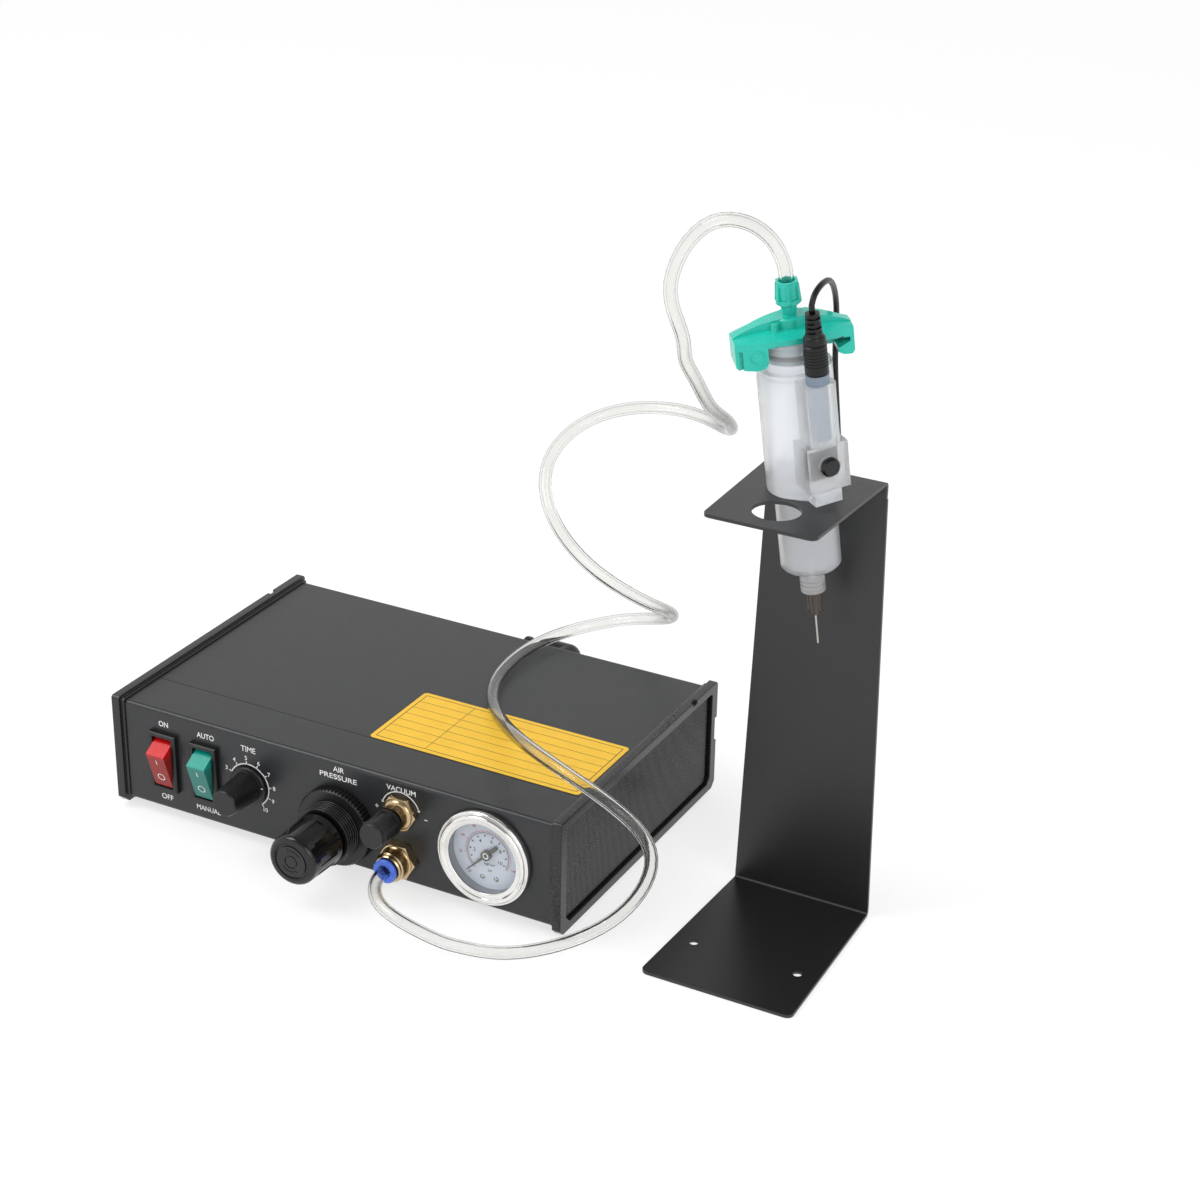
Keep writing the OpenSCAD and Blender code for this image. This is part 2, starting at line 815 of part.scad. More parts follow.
module solenoid_valve() {
    color("#9aa0a6") at_controller() {
        block([-10, -40, floor_z + sheet], [20, 22, 32]);
        block([-6, -20, 32], [16, 16, 50]);
        translate([5, 16, 41]) rotate([-90, 0, 0]) cylinder(r = 6, h = 8);
    }
}

module vacuum_ejector() {
    color("#9aa0a6") at_controller() {
        block([28, -5, floor_z + sheet], [51, 35, 47]);
    }
}

module tube_along_y(x, z, y0, y1, r) {
    translate([x, y0, z]) rotate([-90, 0, 0]) cylinder(r = r, h = y1 - y0);
}

module inner_tubes() {
    elbow_r = 10;
    color("#3a78c8") at_controller() {
        tube_along_y(regulator_at.x, regulator_at.y, panel_y + 26, -40, 3);
        tube_along_y(outlet_at.x, outlet_at.y, panel_y + 19, -5, 3);
        tube_along_y(vacuum_at.x, vacuum_at.y, panel_y + 22, -5, 2);
        tube_along_y(inlet_at.x, inlet_at.y, 35, back_y - 12, 3);
        tube_along_y(silencer_at.x, silencer_at.y, 35, back_y - 9, 3);
        translate([20, 10, 24]) rotate([0, 90, 0]) cylinder(r = 3, h = 8);
        translate([gauge_at.x - elbow_r, panel_y + 36, gauge_at.y])
            rotate_extrude(angle = 90) translate([elbow_r, 0]) circle(r = 2.5);
        translate([20, panel_y + 36 + elbow_r, gauge_at.y]) rotate([0, 90, 0])
            cylinder(r = 2.5, h = gauge_at.x - elbow_r - 20);
    }
}

// Back panel
module power_inlet() {
    color("#18181a") on_back(mains_at) difference() {
        union() {
            block([-24, -11.5, 0], [24, 11.5, 2.6]);
            block([-mains_w / 2 + 0.1, -mains_h / 2 + 0.1, -20],
                [mains_w / 2 - 0.1, mains_h / 2 - 0.1, 0]);
        }
        difference() {
            block([-11.8, -7.8, -16], [11.8, 7.8, 3]);
            for (p = [[-7, -2], [0, 2], [7, -2]]) block([p.x - 1, p.y - 2, -17], [p.x + 1, p.y + 2, -1]);
        }
        for (x = [-20, 20]) translate([x, 0, 1]) cylinder(r1 = 1.6, r2 = 3.2, h = 2, $fn = 48);
    }
}

module fuse_holder() {
    color("#18181a") on_back(fuse_at) difference() {
        union() {
            disc(6, -26, 0);
            disc(8, 0, 2);
            disc(6.6, 2, 10);
            ring(6, 8, -4, -sheet);
        }
        around(14) block([6.3, -0.5, 3], [8, 0.5, 11]);
        block([-4, -0.6, 9], [4, 0.6, 11]);
    }
}

module trigger_socket() {
    color("#a8abae") on_back(trigger_at) difference() {
        union() {
            disc(5.5, -16, 0);
            nut_blank(14, 0, 2.5);
            disc(5.5, 2.5, 4);
        }
        disc(plug_pin_r + shaft_clear, -12, 5);
    }
}

// Moulded plug with its pin below z = 0 and its strain relief on top
module jack_plug(pin_h) {
    waist_z = 12.6;
    grip_pitch = 1.3;
    relief_z = plug_body_h + 1;
    relief_pitch = 1.9;
    difference() {
        union() {
            disc(plug_pin_r, -pin_h, 0);
            rotate_extrude() polygon([
                [0, 0], [plug_body_r - 0.5, 0], [plug_body_r, 0.6], [plug_body_r - 0.1, waist_z - 0.5],
                [plug_body_r - 0.6, waist_z], [plug_body_r - 0.2, waist_z + 0.7],
                [plug_body_r - 0.4, plug_body_h - 1.2], [3.5, plug_body_h],
                [3.4, plug_body_h + 0.6], [2.9, plug_body_h + relief_h], [0, plug_body_h + relief_h]
            ]);
        }
        for (i = [0 : 3]) difference() {
            ring(2.1, 5, relief_z + i * relief_pitch, relief_z + i * relief_pitch + 0.9);
            rotate([0, 0, 90 * i]) block([-6, -0.8, plug_body_h], [6, 0.8, plug_body_h + relief_h]);
        }
        for (i = [0 : 5]) ring(plug_body_r - 0.35, plug_body_r + 1, 4 + i * grip_pitch,
            4.5 + i * grip_pitch);
    }
}

// The loose plug points away from the coil, its relief towards the cable
module cable_plug() {
    color("#141415") translate(plug_rest) rotate([0, 90, 0])
        translate([0, 0, -plug_body_h - relief_h]) jack_plug(14);
}

// Push-in elbow: its leg lies along the panel, and the tube goes in at the end of the leg
module inlet_fitting() {
    sleeve_r = 5.2;
    color("#1b1b1d") on_back(inlet_at) difference() {
        union() {
            nut_blank(13, 0, 4);
            disc(6, -12, 0);
            ring(6, 8, -4, -sheet);
            disc(4.6, 4, 8);
            disc(elbow_r, 8, elbow_out);
            translate([0, 0, elbow_out]) sphere(elbow_r);
            translate([0, 0, elbow_out]) rotate([0, 90, 0]) {
                disc(elbow_r, 0, 17);
                rotate_extrude() polygon([
                    [0, 17], [4.4, 17], [4.4, 21.5], [sleeve_r, 21.8], [sleeve_r, elbow_reach - 0.5],
                    [sleeve_r - 0.5, elbow_reach], [0, elbow_reach]
                ]);
            }
        }
        disc(2.2, -13, elbow_out);
        translate([0, 0, elbow_out]) rotate([0, 90, 0]) {
            disc(2.2, 0, elbow_reach - 14);
            disc(3.05, elbow_reach - 14.5, elbow_reach + 1);
        }
    }
}

module silencer() {
    color("#b98b45") on_back(silencer_at) {
        difference() {
            union() {
                nut_blank(10, 0, 4);
                disc(4.5, -9, 0);
            }
            disc(1.6, -10, 3);
        }
        rotate_extrude() polygon([[0, 4], [4.2, 4], [4.2, 11], [2.8, 14], [0, 14.6]]);
    }
}

// Stand
function leant(p) = [fold_y, strip_bend] + turned([p.x, p.y - strip_bend], -stand_lean);

module stand_profile() {
    inner_r = strip_bend - strip;
    low = [fold_y - strip_bend, strip_bend];
    high = [-strip_bend, stand_h - strip_bend];
    polygon(concat(
        [[stand_front_y, 0]],
        arc(low, strip_bend, -90, 0),
        [for (p = arc(high, strip_bend, 0, 90)) leant(p)],
        [leant([-plate_d, stand_h]), leant([-plate_d, stand_h - strip])],
        [for (p = arc(high, inner_r, 90, 0)) leant(p)],
        arc(low, inner_r, 0, -90),
        [[stand_front_y, strip]]
    ));
}

// Half outline from [half width, place] pairs, closed by its mirror image, with cut corners
module plan_outline(front_w, back_w, front_y, depth) {
    cut = 3.2;
    f = front_w / 2;
    b = back_w / 2;
    polygon(mirrored(concat(
        arc([f - cut, front_y + cut], cut, -90, 0, 4),
        [[b, front_y + depth]]
    )));
}

module stand() {
    base_zone = 6;
    plate_zone = stand_h - 8;
    plate_front = fold_y - plate_d + 2.4;
    color("#242527") difference() {
        intersection() {
            translate([stand_x, 0, 0]) across_x(foot_w + 2) stand_profile();
            union() {
                translate([stand_x, 0, -1]) linear_extrude(base_zone + 1)
                    plan_outline(foot_w, back_low_w, stand_front_y, foot_d + 1);
                intersection() {
                    translate([stand_x, fold_y + 5, 0]) rotate([90, 0, 0]) linear_extrude(90)
                        polygon(mirrored([
                            [back_low_w / 2, base_zone - eps], [back_top_w / 2, stand_h + 2]
                        ]));
                    union() {
                        block([stand_x - 40, fold_y - 12, 0], [stand_x + 40, fold_y + 6, plate_zone]);
                        translate([stand_x, 0, plate_zone]) linear_extrude(14)
                            plan_outline(plate_front_w, back_top_w, plate_front, plate_d + 2);
                    }
                }
            }
        }
        for (side = [-1, 1]) translate([stand_x + side * base_hole_pitch / 2, base_holes_y, -1])
            cylinder(r = base_hole_r, h = 4);
        stand_hole(spare_hole_y, spare_hole_d / 2);
        stand_hole(syringe_hole_y, hole_d / 2);
    }
}

module stand_hole(y, r) {
    translate([stand_x, y, stand_h]) rotate([-stand_lean, 0, 0]) translate([0, 0, -6])
        cylinder(r = r, h = 12);
}

// Syringe
module barrel() {
    color([0.93, 0.95, 0.96, 0.7]) on_syringe() difference() {
        union() {
            rotate_extrude() polygon([
                [0, -50], [5.3, -50], [5.3, -41], [barrel_r - 0.8, -37.6], [barrel_r, -36.6],
                [barrel_r, flange_z],
                [flange_r, flange_z], [flange_r, flange_top], [0, flange_top]
            ]);
            intersection() {
                disc(wing_r, wing_z[0], wing_z[1]);
                rotate([0, 0, wing_turn])
                    block([-22, -wing_half, 0], [22, wing_half, flange_top]);
            }
        }
        rotate_extrude() polygon([
            [0, flange_top + 1], [bore_r, flange_top + 1], [bore_r, -35.8], [0.9, -39], [0, -39]
        ]);
        disc(0.9, -51, -30);
        ring(2, 4, -51, -42.5);
        disc(2.5, -51, -49);
        for (z = [-48.6, -46.6, -44.6]) ring(4.9, 6, z, z + 0.8);
    }
}

module barrel_sleeve() {
    grip = 3;
    color([0.9, 0.93, 0.95, 0.5]) on_syringe() difference() {
        disc(sleeve_r, 0, sleeve_h);
        disc(barrel_r, -1, sleeve_h + 1);
        disc(sleeve_r - 1.4, grip, sleeve_h - grip);
    }
}

module trigger_housing() {
    upper_front = 26.5;
    color([0.9, 0.93, 0.95, 0.5]) on_trigger() difference() {
        union() {
            block([12, -6, 0], [23, 6, 7]);
            block([12, -9, 7], [lower_front, 9, 27]);
            translate([0, 0, 27]) linear_extrude(sleeve_h - 28) polygon([
                [12, -6.5], [upper_front - 2.5, -6.5], [upper_front, -4], [upper_front, 4],
                [upper_front - 2.5, 6.5], [12, 6.5]
            ]);
            translate([0, 0, button_z]) rotate([0, 90, 0])
                disc(button_hole_r + 0.7, lower_front - 1, lower_front + 0.7);
        }
        disc(sleeve_r, -1, sleeve_h + 2);
        block([housing_back, -7.5, 9], [lower_front - housing_wall, 7.5, 25]);
        translate([trigger_r, 0, 29]) cylinder(r = 4.3, h = 30);
        translate([0, 0, button_z]) rotate([0, 90, 0]) cylinder(r = button_hole_r, h = 40);
        translate([18.6, -7, 2.6]) rotate([-90, 0, 0]) cylinder(r = 0.9, h = 4);
    }
}

module trigger_switch() {
    color("#232325") on_trigger() {
        block([housing_back, -6, 11], [21.4, 6, 24]);
        for (y = [-4, 4]) block([18, y - 0.4, 9.4], [19, y + 0.4, 11]);
    }
}

module trigger_jack() {
    color("#7c8ea3") on_trigger() translate([trigger_r, 0, 0]) difference() {
        union() {
            disc(4.2, 29, 53);
            disc(4.8, 53, jack_top);
        }
        disc(plug_pin_r + shaft_clear, 38, 58);
    }
}

module trigger_button() {
    color("#1a1a1c") on_trigger() translate([0, 0, button_z]) rotate([0, 90, 0])
        rotate_extrude() polygon([
            [0, 22.6], [4.9, 22.6], [4.9, 23.6], [4, 23.6], [4, 27.6], [3.3, 28.4], [0, 28.6]
        ]);
}

module needle_hub() {
    color("#3b3d42") on_syringe() difference() {
        union() {
            rotate_extrude() polygon([
                [0, -62], [1.4, -62], [2.3, -59.5], [2.5, -52], [3.2, -51.6], [3.2, -50.4], [0, -50.4]
            ]);
            disc(3.8, -50.4, -44);
            around(4) block([0, -0.5, -60], [3.2, 0.5, -51]);
        }
        disc(2.05, -50, -43);
        disc(needle_r, -63, -49);
    }
}

module needle() {
    color("#c9cbce") on_syringe() ring(0.25, needle_r, needle_tip, -51);
}

// Syringe adapter: a crowned leaf that hooks under the two wings of the barrel
module leaf(grow, z0, z1) {
    shift = plan_r - plan_half;
    intersection() {
        translate([0, shift, 0]) disc(plan_r + grow, z0, z1);
        translate([0, -shift, 0]) disc(plan_r + grow, z0, z1);
        block([-cap_half, -20, z0], [cap_half, 20, z1]);
    }
}

// A profile of [radius, place] revolved about a line along Y, which lies r below its top
module crowned(top, r) {
    translate([0, 0, top - r]) rotate([90, 90, 0]) rotate([0, 0, 160])
        rotate_extrude(angle = 40, $fn = 144) children();
}

module cap_crown() {
    half = 14;
    flat = 4.4;
    low = crown_r - 4.3;
    edge = crown_r - 2.1;
    crowned(cap_high, crown_r) polygon([
        [low, -half], [edge, -half], [crown_r, -flat], [crown_r, flat], [edge, half], [low, half]
    ]);
}

// Raised spine from tip to tip, highest at the hub
module cap_spine() {
    spine_top = 75.2;
    spine_r = 47.5;
    intersection() {
        translate([0, 0, spine_top - spine_r]) rotate([90, 0, 0])
            cylinder(r = spine_r, h = 20, center = true, $fn = 144);
        translate([0, 0, cap_low + 1]) linear_extrude(8) polygon([
            [-cap_half, -1.6], [0, -5.1], [cap_half, -1.6],
            [cap_half, 1.6], [0, 5.1], [-cap_half, 1.6]
        ]);
    }
}

// One ear: the end wall and its lip go under a wing, the side wall stops the turn
module cap_ear() {
    low = 57;
    high = cap_low + 0.3;
    inner = 22.2;
    round_r = 4.5;
    rotate([90, 0, 0]) linear_extrude(20, center = true) polygon([
        [-cap_half, high], [-cap_half, low + 1], [-cap_half + 1, low], [-inner, low],
        [-19, low + 1], [-16.7, 59.6], [-16.7, 61.4], [-inner, 62.6], [-inner, high]
    ]);
    translate([0, -stop_y, 0]) rotate([90, 0, 0]) linear_extrude(10) polygon(concat(
        [[-cap_half, high], [-cap_half, low + 1], [-cap_half + 1, low]],
        arc([stop_x - round_r, low + round_r], round_r, 270, 360),
        [[stop_x, high]]
    ));
}

// Room under the cap for the flange and for the wings as the cap turns
module flange_room() {
    disc(flange_r + 0.3, 50, cap_low);
    difference() {
        disc(wing_r + 0.3, wing_z[0] - 0.3, wing_z[1] + 0.3);
        rotate([0, 0, wing_turn]) around(2)
            block([-cap_half, -20, 60], [stop_x + 1, -stop_y, 70]);
    }
}

module adapter_cap() {
    slot = [21.2, 22.6];
    badge = [-16.1, 62.8];
    color("#12a884") on_syringe() difference() {
        union() {
            rotate([0, 0, wing_turn]) {
                intersection() {
                    union() {
                        cap_crown();
                        cap_spine();
                        around(2) cap_ear();
                    }
                    leaf(0, 50, 80);
                }
                intersection() {
                    around(2) translate([badge.x, 0, badge.y]) rotate([90, 0, 0]) ring(2.5, 3, 6, 14);
                    leaf(0.35, 50, 80);
                }
                around(2) translate([-7.2, -5, 0]) disc(1.6, 69, 73.9);
            }
            rotate_extrude() polygon([
                [0, 69], [6.6, 69], [6.6, hub_top - 0.6], [6, hub_top], [2.8, hub_top],
                [neck_r, 79.4], [neck_r, neck_top], [0, neck_top]
            ]);
        }
        disc(air_bore_r, 60, 90);
        flange_room();
        rotate([0, 0, wing_turn]) around(2)
            block([-slot[1], -14, 50], [-slot[0], -stop_y - 1.1, 65]);
    }
}

module adapter_plug() {
    color("#8fa39b") on_syringe() difference() {
        disc(11.1, 57, cap_low);
        disc(air_bore_r, 50, 70);
        ring(9.6, 13, 58.8, 60.8);
    }
}

module adapter_seal() {
    color("#20211f") on_syringe() ring(9.6, 11.35, 59, 60.6);
}

module tube_nut() {
    low = 79.6;
    core_r = 4.3;
    color("#12a884") on_syringe() difference() {
        union() {
            disc(core_r, low, nut_top - 1);
            intersection() {
                hexagon(9.8, low, low + 2.2);
                rotate_extrude() polygon([
                    [0, low], [4.6, low], [5.6, low + 1], [5.6, low + 3], [0, low + 3]
                ]);
            }
            hexagon(8.6, nut_top - 2, nut_top);
            around(6) rotate([90, 0, 0]) linear_extrude(1.7, center = true) polygon([
                [4, low + 1], [5.5, low + 1], [4.85, nut_top - 1], [4, nut_top - 1]
            ]);
        }
        disc(neck_r, 79, neck_top);
        disc(tube_d / 2 + 0.45, neck_top - 1, nut_top + 1);
    }
}

// Cords
air_path = concat([tube_route[0] + [0, 3, 0]], smooth(tube_route, 2),
    [syringe_point([0, 0, nut_top - 3]), syringe_point([0, 0, neck_top])]);
air_joint = 1 + 2 * tube_split;
cable_start = jack_top + plug_body_h + relief_h;
cable_path = concat(
    [for (z = [0, 1.5]) syringe_point([trigger_r, 0, cable_start + z], trigger_turn)],
    smooth(cable_route, 2));
cable_joint = 2 + 2 * cable_split;
tail_path = concat(smooth(tail_route, 2), [plug_rest]);

module air_tube_lower() {
    color([0.9, 0.93, 0.95, 0.6]) swept_cord(air_path, tube_d / 2, 10, 0, air_joint);
}

module air_tube_upper() {
    color([0.9, 0.93, 0.95, 0.6])
        swept_cord(air_path, tube_d / 2, 10, air_joint, len(air_path) - 1);
}

module trigger_plug() {
    color("#141415") on_trigger() translate([trigger_r, 0, jack_top]) jack_plug(18);
}

module trigger_cable_upper() {
    color("#141415") swept_cord(cable_path, cable_d / 2, 8, 0, cable_joint);
}

module trigger_cable_lower() {
    color("#141415") {
        swept_cord(cable_path, cable_d / 2, 8, cable_joint, len(cable_path) - 1);
        swept_cord(tail_path, cable_d / 2, 8, 0, len(tail_path) - 1);
    }
}

module trigger_coil() {
    half = coil_layers * cable_d / 2;
    color("#141415") translate(coil_at) ring(coil_mid_r - half, coil_mid_r + half, 0, 2 * half);
}

module coil_tie() {
    half = coil_layers * cable_d / 2;
    wall = 0.8;
    color("#202020") translate([coil_at.x, coil_at.y - coil_mid_r, 0]) difference() {
        block([-1.5, -half - wall, 0], [1.5, half + wall, 2 * half + wall]);
        block([-2, -half - 0.02, -1], [2, half + 0.02, 2 * half]);
    }
}

chassis();
rear_cover();
left_cheek();
right_cheek();
rubber_feet();
case_screws();
power_switch_body();
power_rocker();
mode_switch_body();
mode_rocker();
timer_potentiometer();
timer_shaft();
time_knob();
regulator_body();
regulator_ring_nut();
regulator_screw();
regulator_knob();
vacuum_valve_body();
vacuum_panel_nut();
vacuum_needle();
vacuum_knob();
outlet_fitting();
outlet_nut();
release_collar();
gauge_case();
gauge_bezel();
gauge_lens();
gauge_dial();
gauge_pointer();
power_supply();
timer_board();
solenoid_valve();
vacuum_ejector();
inner_tubes();
power_inlet();
fuse_holder();
trigger_socket();
inlet_fitting();
silencer();
stand();
barrel();
barrel_sleeve();
trigger_housing();
trigger_switch();
trigger_jack();
trigger_button();
needle_hub();
needle();
adapter_cap();
adapter_plug();
adapter_seal();
tube_nut();
air_tube_lower();
air_tube_upper();
trigger_plug();
trigger_cable_upper();
trigger_cable_lower();
trigger_coil();
coil_tie();
cable_plug();
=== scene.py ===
"""Looks of a benchtop glue dispenser: cords, printed scales, materials, light and camera."""

import math

import bmesh
import bpy
from mathutils import Matrix, Vector


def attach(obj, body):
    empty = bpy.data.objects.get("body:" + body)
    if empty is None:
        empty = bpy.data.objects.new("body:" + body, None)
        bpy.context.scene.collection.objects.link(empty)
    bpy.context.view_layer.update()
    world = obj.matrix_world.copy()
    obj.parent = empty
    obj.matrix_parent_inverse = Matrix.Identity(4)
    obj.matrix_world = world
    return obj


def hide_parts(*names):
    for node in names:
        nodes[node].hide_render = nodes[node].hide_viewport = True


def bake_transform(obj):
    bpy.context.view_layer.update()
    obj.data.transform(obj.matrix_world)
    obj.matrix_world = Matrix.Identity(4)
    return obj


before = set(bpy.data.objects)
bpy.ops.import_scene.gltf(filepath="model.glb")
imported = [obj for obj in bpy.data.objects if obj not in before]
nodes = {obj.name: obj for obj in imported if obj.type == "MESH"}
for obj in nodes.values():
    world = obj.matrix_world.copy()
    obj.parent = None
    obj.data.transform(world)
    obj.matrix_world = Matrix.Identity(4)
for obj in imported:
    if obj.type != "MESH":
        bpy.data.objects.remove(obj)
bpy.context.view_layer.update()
scene = bpy.context.scene

MM = 0.001

# Places in the part's frame, in millimetres and degrees: the middle of the case, its front
# panel, its lid and the sunk field of its cheeks, then the syringe and what stands on it
CONTROLLER = Vector((-56, 8, 0))
PANEL_Y = -75
CASE_TOP = 57
CHEEK_FIELD_X = 117.9
SYRINGE_BASE = Vector((140.1, -4.6, 211.3))
SYRINGE_TURN = (6.4, -5.2)
TRIGGER_TURN = -40
TRIGGER_R = 21.5
RELIEF_TOP = 82.6
NECK_TOP = 82.0
NUT_TOP = 89.3

# Places on the front panel, from the middle of the case
POWER_AT = (-92, 31)
MODE_AT = (-69, 31)
TIME_AT = (-44.5, 31.5)
REGULATOR_AT = (4.2, 25.3)
VACUUM_AT = (37.5, 41)
GAUGE_AT = (81.3, 31.5)

# Rocker: its pivot behind the panel, its tilt and the height of its face over the pivot
ROCKER_PIVOT = -4.3
ROCKER_TILT = 18
ROCKER_FACE = 10

# Prints lie this far over what carries them, and the dial's over the dial
PRINT_GAP = 0.04
DIAL_PRINT_GAP = 0.03

# Gauge: the dial's face behind the panel, where its scale starts and how far a unit turns
DIAL_Z = -2.2
SCALE_START = 225
SCALE_PER_UNIT = -25
PSI_PER_UNIT = 14.22

# Air tube: outer diameter, bore and depth in the outlet, and its route from the outlet's
# collar to the tube nut
TUBE_D = 6.0
TUBE_BORE = 4.0
TUBE_IN_OUTLET = 3
TUBE_ROUTE = [
    (-19, -81, 17), (-19, -90, 17), (-8, -106, 15), (25, -104, 7), (29, -100, 5),
    (49, -94, 2), (73, -74, 5), (94, -60, 20), (107, -57, 51), (93, -69, 75),
    (65, -68, 85), (38, -54, 84), (19, -34, 76), (0, -9, 64), (-18, 11, 60),
    (-30, 35, 60), (-32, 67, 60), (-25, 94, 60), (1, 113, 66), (29, 104, 75),
    (42, 82, 91), (41, 56, 106), (22, 37, 125), (-1, 37, 144), (-18, 55, 163),
    (-14, 83, 177), (9, 102, 184), (41, 102, 186), (63, 84, 188), (78, 61, 199),
    (85, 35, 215), (86, 17, 225), (88, -1, 245), (85, -9, 256), (89, -14, 268),
    (80, -22, 290), (97, -20, 323), (121, -17, 322), (131.2, -15.7, 309), (132, -14.6, 300),
]

# Trigger cable: from the strain relief down to the coil, and from the coil to the loose plug
CABLE_D = 2.5
CABLE_ROUTE = [
    (149, -28, 296), (149, -26.5, 300), (149, -19.5, 302.5), (148, -10, 301.5), (146, -1, 297),
    (143, 10.5, 288.5), (141, 18, 275), (140.5, 19, 261), (141, 21, 245), (142, 24, 226),
    (143, 25, 206), (143, 25, 180), (143, 25, 145), (143, 24, 110), (143, 22, 75),
    (144, 21, 45), (144.5, 21, 24), (144.5, 23, 12), (144.5, 29, 7), (144.5, 36, 6.2),
]
TAIL_ROUTE = [
    (144.5, 39, 1.3), (144.5, 46, 1.3), (144.5, 54, 1.6), (143, 61, 2.6), (139, 65.4, 4),
    (134, 66, 4.85),
]
PLUG_REST = Vector((132, 66, 4.85))

# Coil: its middle, the angles where the cable comes in and leaves, and the places that its
# turns take, as radius and height
COIL_AT = Vector((128, 38, 0))
COIL_START = -7
COIL_END = 3.5
COIL_PLACES = [
    (16.5, 6.25), (16.5, 3.75), (14, 3.75), (14, 6.25), (11.5, 6.25),
    (11.5, 3.75), (11.5, 1.25), (14, 1.25), (16.5, 1.25),
]

# The part of its 0 to 1 scale that a noise texture really uses
NOISE_LOW = 0.3
NOISE_HIGH = 0.7

# Camera: place in metres, then yaw, pitch and roll in degrees, and lens and sensor in mm
CAMERA_AT = (0.51813, -0.90373, 0.62389)
CAMERA_ANGLES = (-27.666, 25.700, 1.058)
LENS = 77.27
SENSOR = 36

# Lamps: name, place, size and power; all look at the middle of the object
LAMP_AIM = (0, 0, 0.1)
LAMPS = [
    ("key", (-0.9, -0.6, 1.4), (0.9, 0.9), 12),
    ("fill", (1.2, -0.8, 0.9), (0.8, 1.0), 5),
]


# Frames of reference


def syringe_turn(turn=0.0):
    """The lean of the syringe, after a turn about its own axis in degrees."""
    lean = Matrix.Rotation(math.radians(SYRINGE_TURN[1]), 3, "Y") @ \
        Matrix.Rotation(math.radians(SYRINGE_TURN[0]), 3, "X")
    return lean @ Matrix.Rotation(math.radians(turn), 3, "Z")


def on_syringe(x, y, z, turn=0.0):
    """A point of the leaning syringe in the part's frame, in millimetres."""
    return SYRINGE_BASE + syringe_turn(turn) @ Vector((x, y, z))


def placed(origin, turn):
    """Millimetres in a turned frame to metres in the part's frame."""
    return Matrix.Translation(Vector(origin) * MM) @ turn.to_4x4() @ Matrix.Scale(MM, 4)


def on_panel(at, out=0.0):
    """The front panel: X right, Y up, Z out of it."""
    turn = Matrix(((1, 0, 0), (0, 0, -1), (0, 1, 0)))
    return placed(CONTROLLER + Vector((at[0], PANEL_Y - out, at[1])), turn)


def on_rocker(at):
    """The front face of a rocker: X right, Y up along the face, Z out of it."""
    tilt = Matrix.Rotation(math.radians(ROCKER_TILT), 4, "X")
    face = Matrix.Translation((0, 0, ROCKER_FACE + PRINT_GAP))
    return on_panel(at, ROCKER_PIVOT) @ tilt @ face


# Mesh helpers


def mesh_piece(name, bm, smooth_shade=True):
    """A new object from a bmesh, which is used up."""
    data = bpy.data.meshes.new(name)
    bm.normal_update()
    bm.to_mesh(data)
    bm.free()
    for face in data.polygons:
        face.use_smooth = smooth_shade
    piece = bpy.data.objects.new(name, data)
    scene.collection.objects.link(piece)
    return piece


def band(bm, low, high, inward=False):
    """Quads between two rings of vertices; returns their faces."""
    faces = []
    for k in range(len(low)):
        j = (k + 1) % len(low)
        quad = (low[k], low[j], high[j], high[k])
        faces.append(bm.faces.new(tuple(reversed(quad)) if inward else quad))
    return faces


def raised(bm, matrix, points, base, top):
    """A thin block from a flat outline: its top and its sides."""
    low, high = ([bm.verts.new(matrix @ Vector((*p, z))) for p in points] for z in (base, top))
    bm.faces.new(high)
    band(bm, low, high)


def smooth(route, steps):
    """The uniform cubic B-spline of a route, straight at both ends."""
    c = [Vector(p) for p in route]
    c = [2 * c[0] - c[1]] + c + [2 * c[-1] - c[-2]]
    line = []
    for i in range(len(c) - 3):
        for k in range(steps):
            t = k / steps
            line.append(((1 - t) ** 3 * c[i] + (3 * t ** 3 - 6 * t * t + 4) * c[i + 1]
                         + (-3 * t ** 3 + 3 * t * t + 3 * t + 1) * c[i + 2]
                         + t ** 3 * c[i + 3]) / 6)
    line.append((c[-3] + 4 * c[-2] + c[-1]) / 6)
    return line


def sweep(bm, line, radius, sides, inward=False):
    """Rings of a tube wall round a line; returns the first and last ring."""
    upright = abs((line[1] - line[0]).normalized().z) >= 0.9
    side = Vector((1, 0, 0)) if upright else Vector((0, 0, 1))
    rings = []
    for i, centre in enumerate(line):
        ahead = line[min(i + 1, len(line) - 1)] - line[max(i - 1, 0)]
        ahead.normalize()
        side = (side - side.dot(ahead) * ahead).normalized()
        other = ahead.cross(side)
        rings.append([
            bm.verts.new((centre + radius * (math.cos(a) * side + math.sin(a) * other)) * MM)
            for a in (2 * math.pi * k / sides for k in range(sides))])
    for low, high in zip(rings, rings[1:]):
        band(bm, low, high, inward)
    return rings[0], rings[-1]


def ring_edges(ring):
    """The edges that join a ring of vertices."""
    found = []
    for a, b in zip(ring, ring[1:] + ring[:1]):
        found.append(next(e for e in a.link_edges if e.other_vert(a) == b))
    return found


# Shader helpers


def new_material(name):
    """A new material, its node tree and its shader."""
    material = bpy.data.materials.new(name)
    material.use_nodes = True
    return material, material.node_tree, material.node_tree.nodes["Principled BSDF"]


def noise(tree, size, stretch=(1, 1, 1), detail=2.0):
    """Noise with features about size millimetres wide, in the part's own coordinates."""
    place = tree.nodes.new("ShaderNodeTexCoord")
    scale = tree.nodes.new("ShaderNodeMapping")
    scale.inputs["Scale"].default_value = [k / (size * MM) for k in stretch]
    texture = tree.nodes.new("ShaderNodeTexNoise")
    texture.inputs["Scale"].default_value = 1
    texture.inputs["Detail"].default_value = detail
    tree.links.new(place.outputs["Object"], scale.inputs["Vector"])
    tree.links.new(scale.outputs["Vector"], texture.inputs["Vector"])
    return texture.outputs["Fac"]


